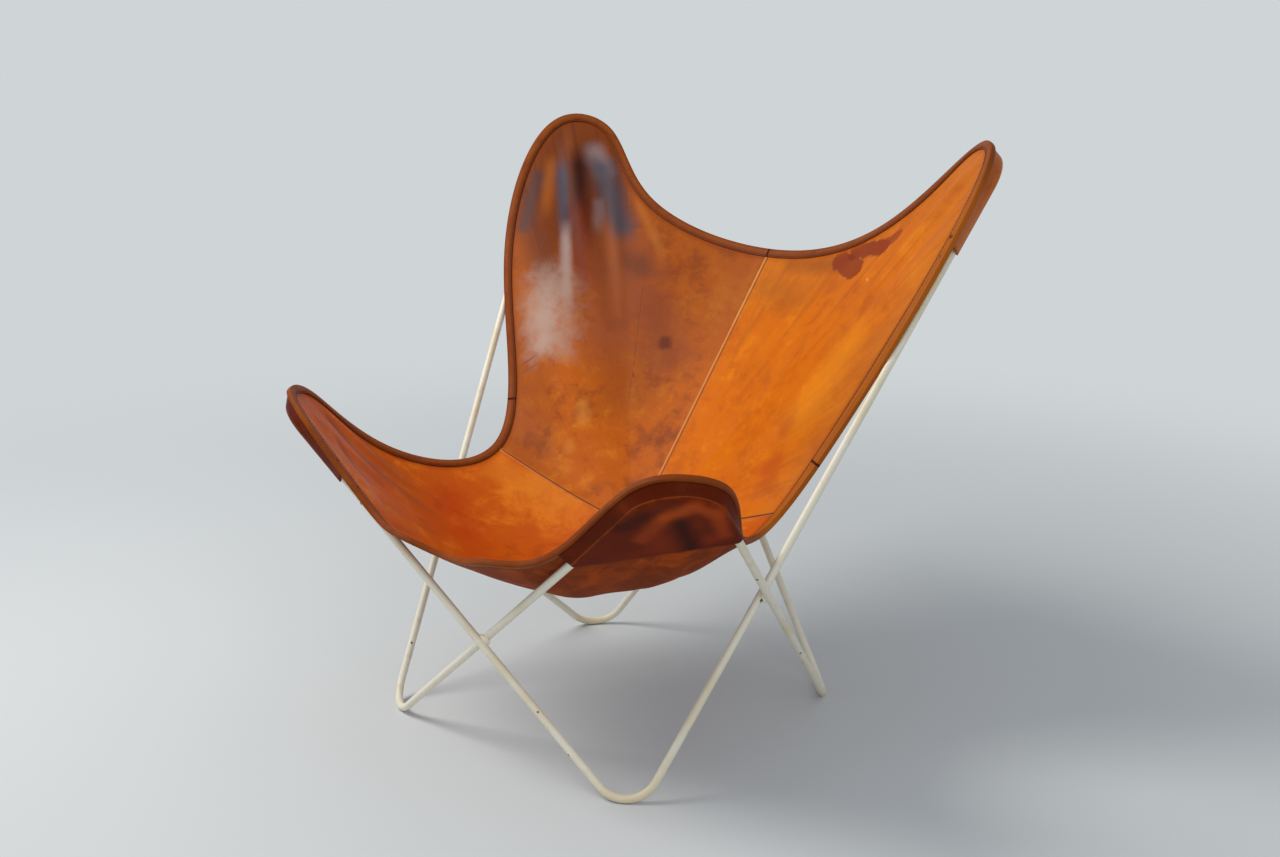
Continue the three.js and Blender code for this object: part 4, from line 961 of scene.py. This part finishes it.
def build():
    """Every piece of the chair."""
    rod_piece("frame_loop_low_right", 1)
    rod_piece("frame_loop_low_left", -1)
    weld_piece("weld_front", (1, ("low", "inner")), (-1, ("low", "inner")))
    weld_piece("weld_back", (1, ("high", "inner")), (-1, ("high", "inner")))
    weld_piece("weld_right", (1, ("low", "outer")), (-1, ("high", "outer")))
    weld_piece("weld_left", (-1, ("low", "outer")), (1, ("high", "outer")))
    gap = SEAM_GAP / 2
    seat = panel_piece("seat_panel", -SIDE_SEAM, SIDE_SEAM, 300, (0, -gap, 0), SEAT_LEATHER)
    right = panel_piece("back_panel_right", SIDE_SEAM, HALF, 190, (gap, gap, 0), RIGHT_LEATHER)
    left = panel_piece("back_panel_left", HALF, TOTAL - SIDE_SEAM, 190, (-gap, gap, 0), LEFT_LEATHER)
    strips = [strip_piece("seam_strip_right", 0, right[1:3]), strip_piece("seam_strip_left", -1, left[1:3]),
              strip_piece("seam_strip_back", 0, left[1:3])]
    joint = KNOTS[7] + (KNOTS[8] - KNOTS[7]) / 3
    bindings = [binding_piece("binding_front", -joint, joint), binding_piece("binding_back_right", joint, HALF),
                binding_piece("binding_back_left", HALF, TOTAL - joint)]
    edge = Edge(evenly(0, TOTAL, STITCH))
    at, up = edge.point + edge.inward * STITCH_IN, edge.up * STITCH_HEIGHT
    stitches = [stitch_piece("binding_stitches_top", at + up, edge.ahead, edge.up),
                stitch_piece("binding_stitches_under", at - up, edge.ahead, -edge.up)]
    pockets = []
    for word, side in (("right", 1), ("left", -1)):
        at = (lambda i: KNOTS[i]) if side > 0 else (lambda i: KNOTS[len(POINTS) - i])
        low_reach = LOW_RIGHT_REACH if side > 0 else LOW_LEFT_REACH
        pockets += [pocket_piece(f"pocket_low_{word}", LOOPS[side]["low"], at(2), at(6), low_reach),
                    pocket_piece(f"pocket_high_{word}", LOOPS[-side]["high"], at(12), at(8), HIGH_REACH)]


# Where the floor passes into the background, in metres from the middle, and the background's share as a light
FLOOR_FADE, WORLD_LIGHT = (0.7, 2.6), 0.7
# The photograph's camera: azimuth, elevation and roll in degrees, its place, and its focal length in pixels
CAMERA_TURNS, CAMERA_PLACE = (40.3929, 15.0937, 0.2715), (1637.012, -1852.211, 1118.892)
FOCAL, PHOTO_WIDTH, SENSOR = 1664.440, 1280, 36.0


def looked_at(tree):
    """1 for the rays that a camera, a reflection or a clear piece looks along, and 0 for those that light."""
    rays = tree.nodes.new("ShaderNodeLightPath").outputs
    seen, glossy, clear = (Wire(tree, rays[k]) for k in ("Is Camera Ray", "Is Glossy Ray", "Is Transmission Ray"))
    return seen.maths("MAXIMUM", seen, glossy.maths("MAXIMUM", glossy, clear))


def studio():
    """A pale floor that passes into the pale background, broad soft lamps and a camera at the photograph's place."""
    pale = tone(207, 212, 215)
    material = bpy.data.materials.new("pale_floor")
    material.use_nodes = True
    tree = material.node_tree
    shader = tree.nodes["Principled BSDF"]
    shader.inputs["Base Color"].default_value = tone(205, 209, 212)
    shader.inputs["Roughness"].default_value = 0.8
    here = Wire(tree, tree.nodes.new("ShaderNodeTexCoord").outputs["Object"])
    far = here.away((0.0, 0.0, 0.0)).fade(*FLOOR_FADE) * looked_at(tree)
    glow = far.node("ShaderNodeEmission", {}, {"Color": pale, "Strength": 1.0})
    mixed = far.node("ShaderNodeMixShader", {}, {0: far, 1: Wire(tree, shader.outputs[0]), 2: glow})
    tree.links.new(mixed.socket, tree.nodes["Material Output"].inputs["Surface"])
    mesh = bpy.data.meshes.new("floor")
    mesh.from_pydata([(-30, -30, 0), (30, -30, 0), (30, 30, 0), (-30, 30, 0)], [], [(0, 1, 2, 3)])
    mesh.materials.append(material)
    floor = bpy.data.objects.new("floor", mesh)
    bpy.context.scene.collection.objects.link(floor)

    world = bpy.data.worlds.new("studio")
    bpy.context.scene.world = world
    world.use_nodes = True
    tree = world.node_tree
    light = tree.nodes["Background"]
    light.inputs["Color"].default_value = pale
    tree.links.new((looked_at(tree) * (1 - WORLD_LIGHT) + WORLD_LIGHT).socket, light.inputs["Strength"])

    def lamp(name, place, target, size, power, colour):
        data = bpy.data.lights.new(name, "AREA")
        data.shape, data.size, data.energy, data.color = "DISK", size, power, colour
        made = bpy.data.objects.new(name, data)
        bpy.context.scene.collection.objects.link(made)
        back = unit(np.array(place, float) - target)
        side = unit(np.cross((0, 0, 1.0), back))
        matrix = np.eye(4)
        matrix[:3, :3] = np.column_stack((side, np.cross(back, side), back))
        matrix[:3, 3] = place
        made.matrix_world = Matrix(matrix.tolist())

    lamp("key", (-1.7, -1.3, 2.6), (0, 0, 0.5), 1.5, 66, (1.0, 0.96, 0.90))
    lamp("fill", (2.4, -1.4, 1.6), (0, 0, 0.5), 2.0, 16, (0.97, 0.98, 1.0))

    azimuth, elevation, roll = np.radians(CAMERA_TURNS)
    back = np.array((math.sin(azimuth) * math.cos(elevation), -math.cos(azimuth) * math.cos(elevation),
                     math.sin(elevation)))
    right = unit(np.cross(-back, (0, 0, 1.0)))
    down = np.cross(-back, right)
    place = (np.array(CAMERA_PLACE) + SHIFT) * MM
    matrix = np.eye(4)
    matrix[:3, 0] = right * math.cos(roll) + down * math.sin(roll)
    matrix[:3, 1] = right * math.sin(roll) - down * math.cos(roll)
    matrix[:3, 2] = back
    matrix[:3, 3] = place
    camera = bpy.data.objects.new("camera", bpy.data.cameras.new("camera"))
    camera.data.sensor_width, camera.data.lens = SENSOR, SENSOR * FOCAL / PHOTO_WIDTH
    camera.data.clip_end = 100
    camera.matrix_world = Matrix(matrix.tolist())
    bpy.context.scene.collection.objects.link(camera)
    bpy.context.scene.camera = camera
    bpy.context.scene.view_settings.view_transform = "Standard"


build()
studio()
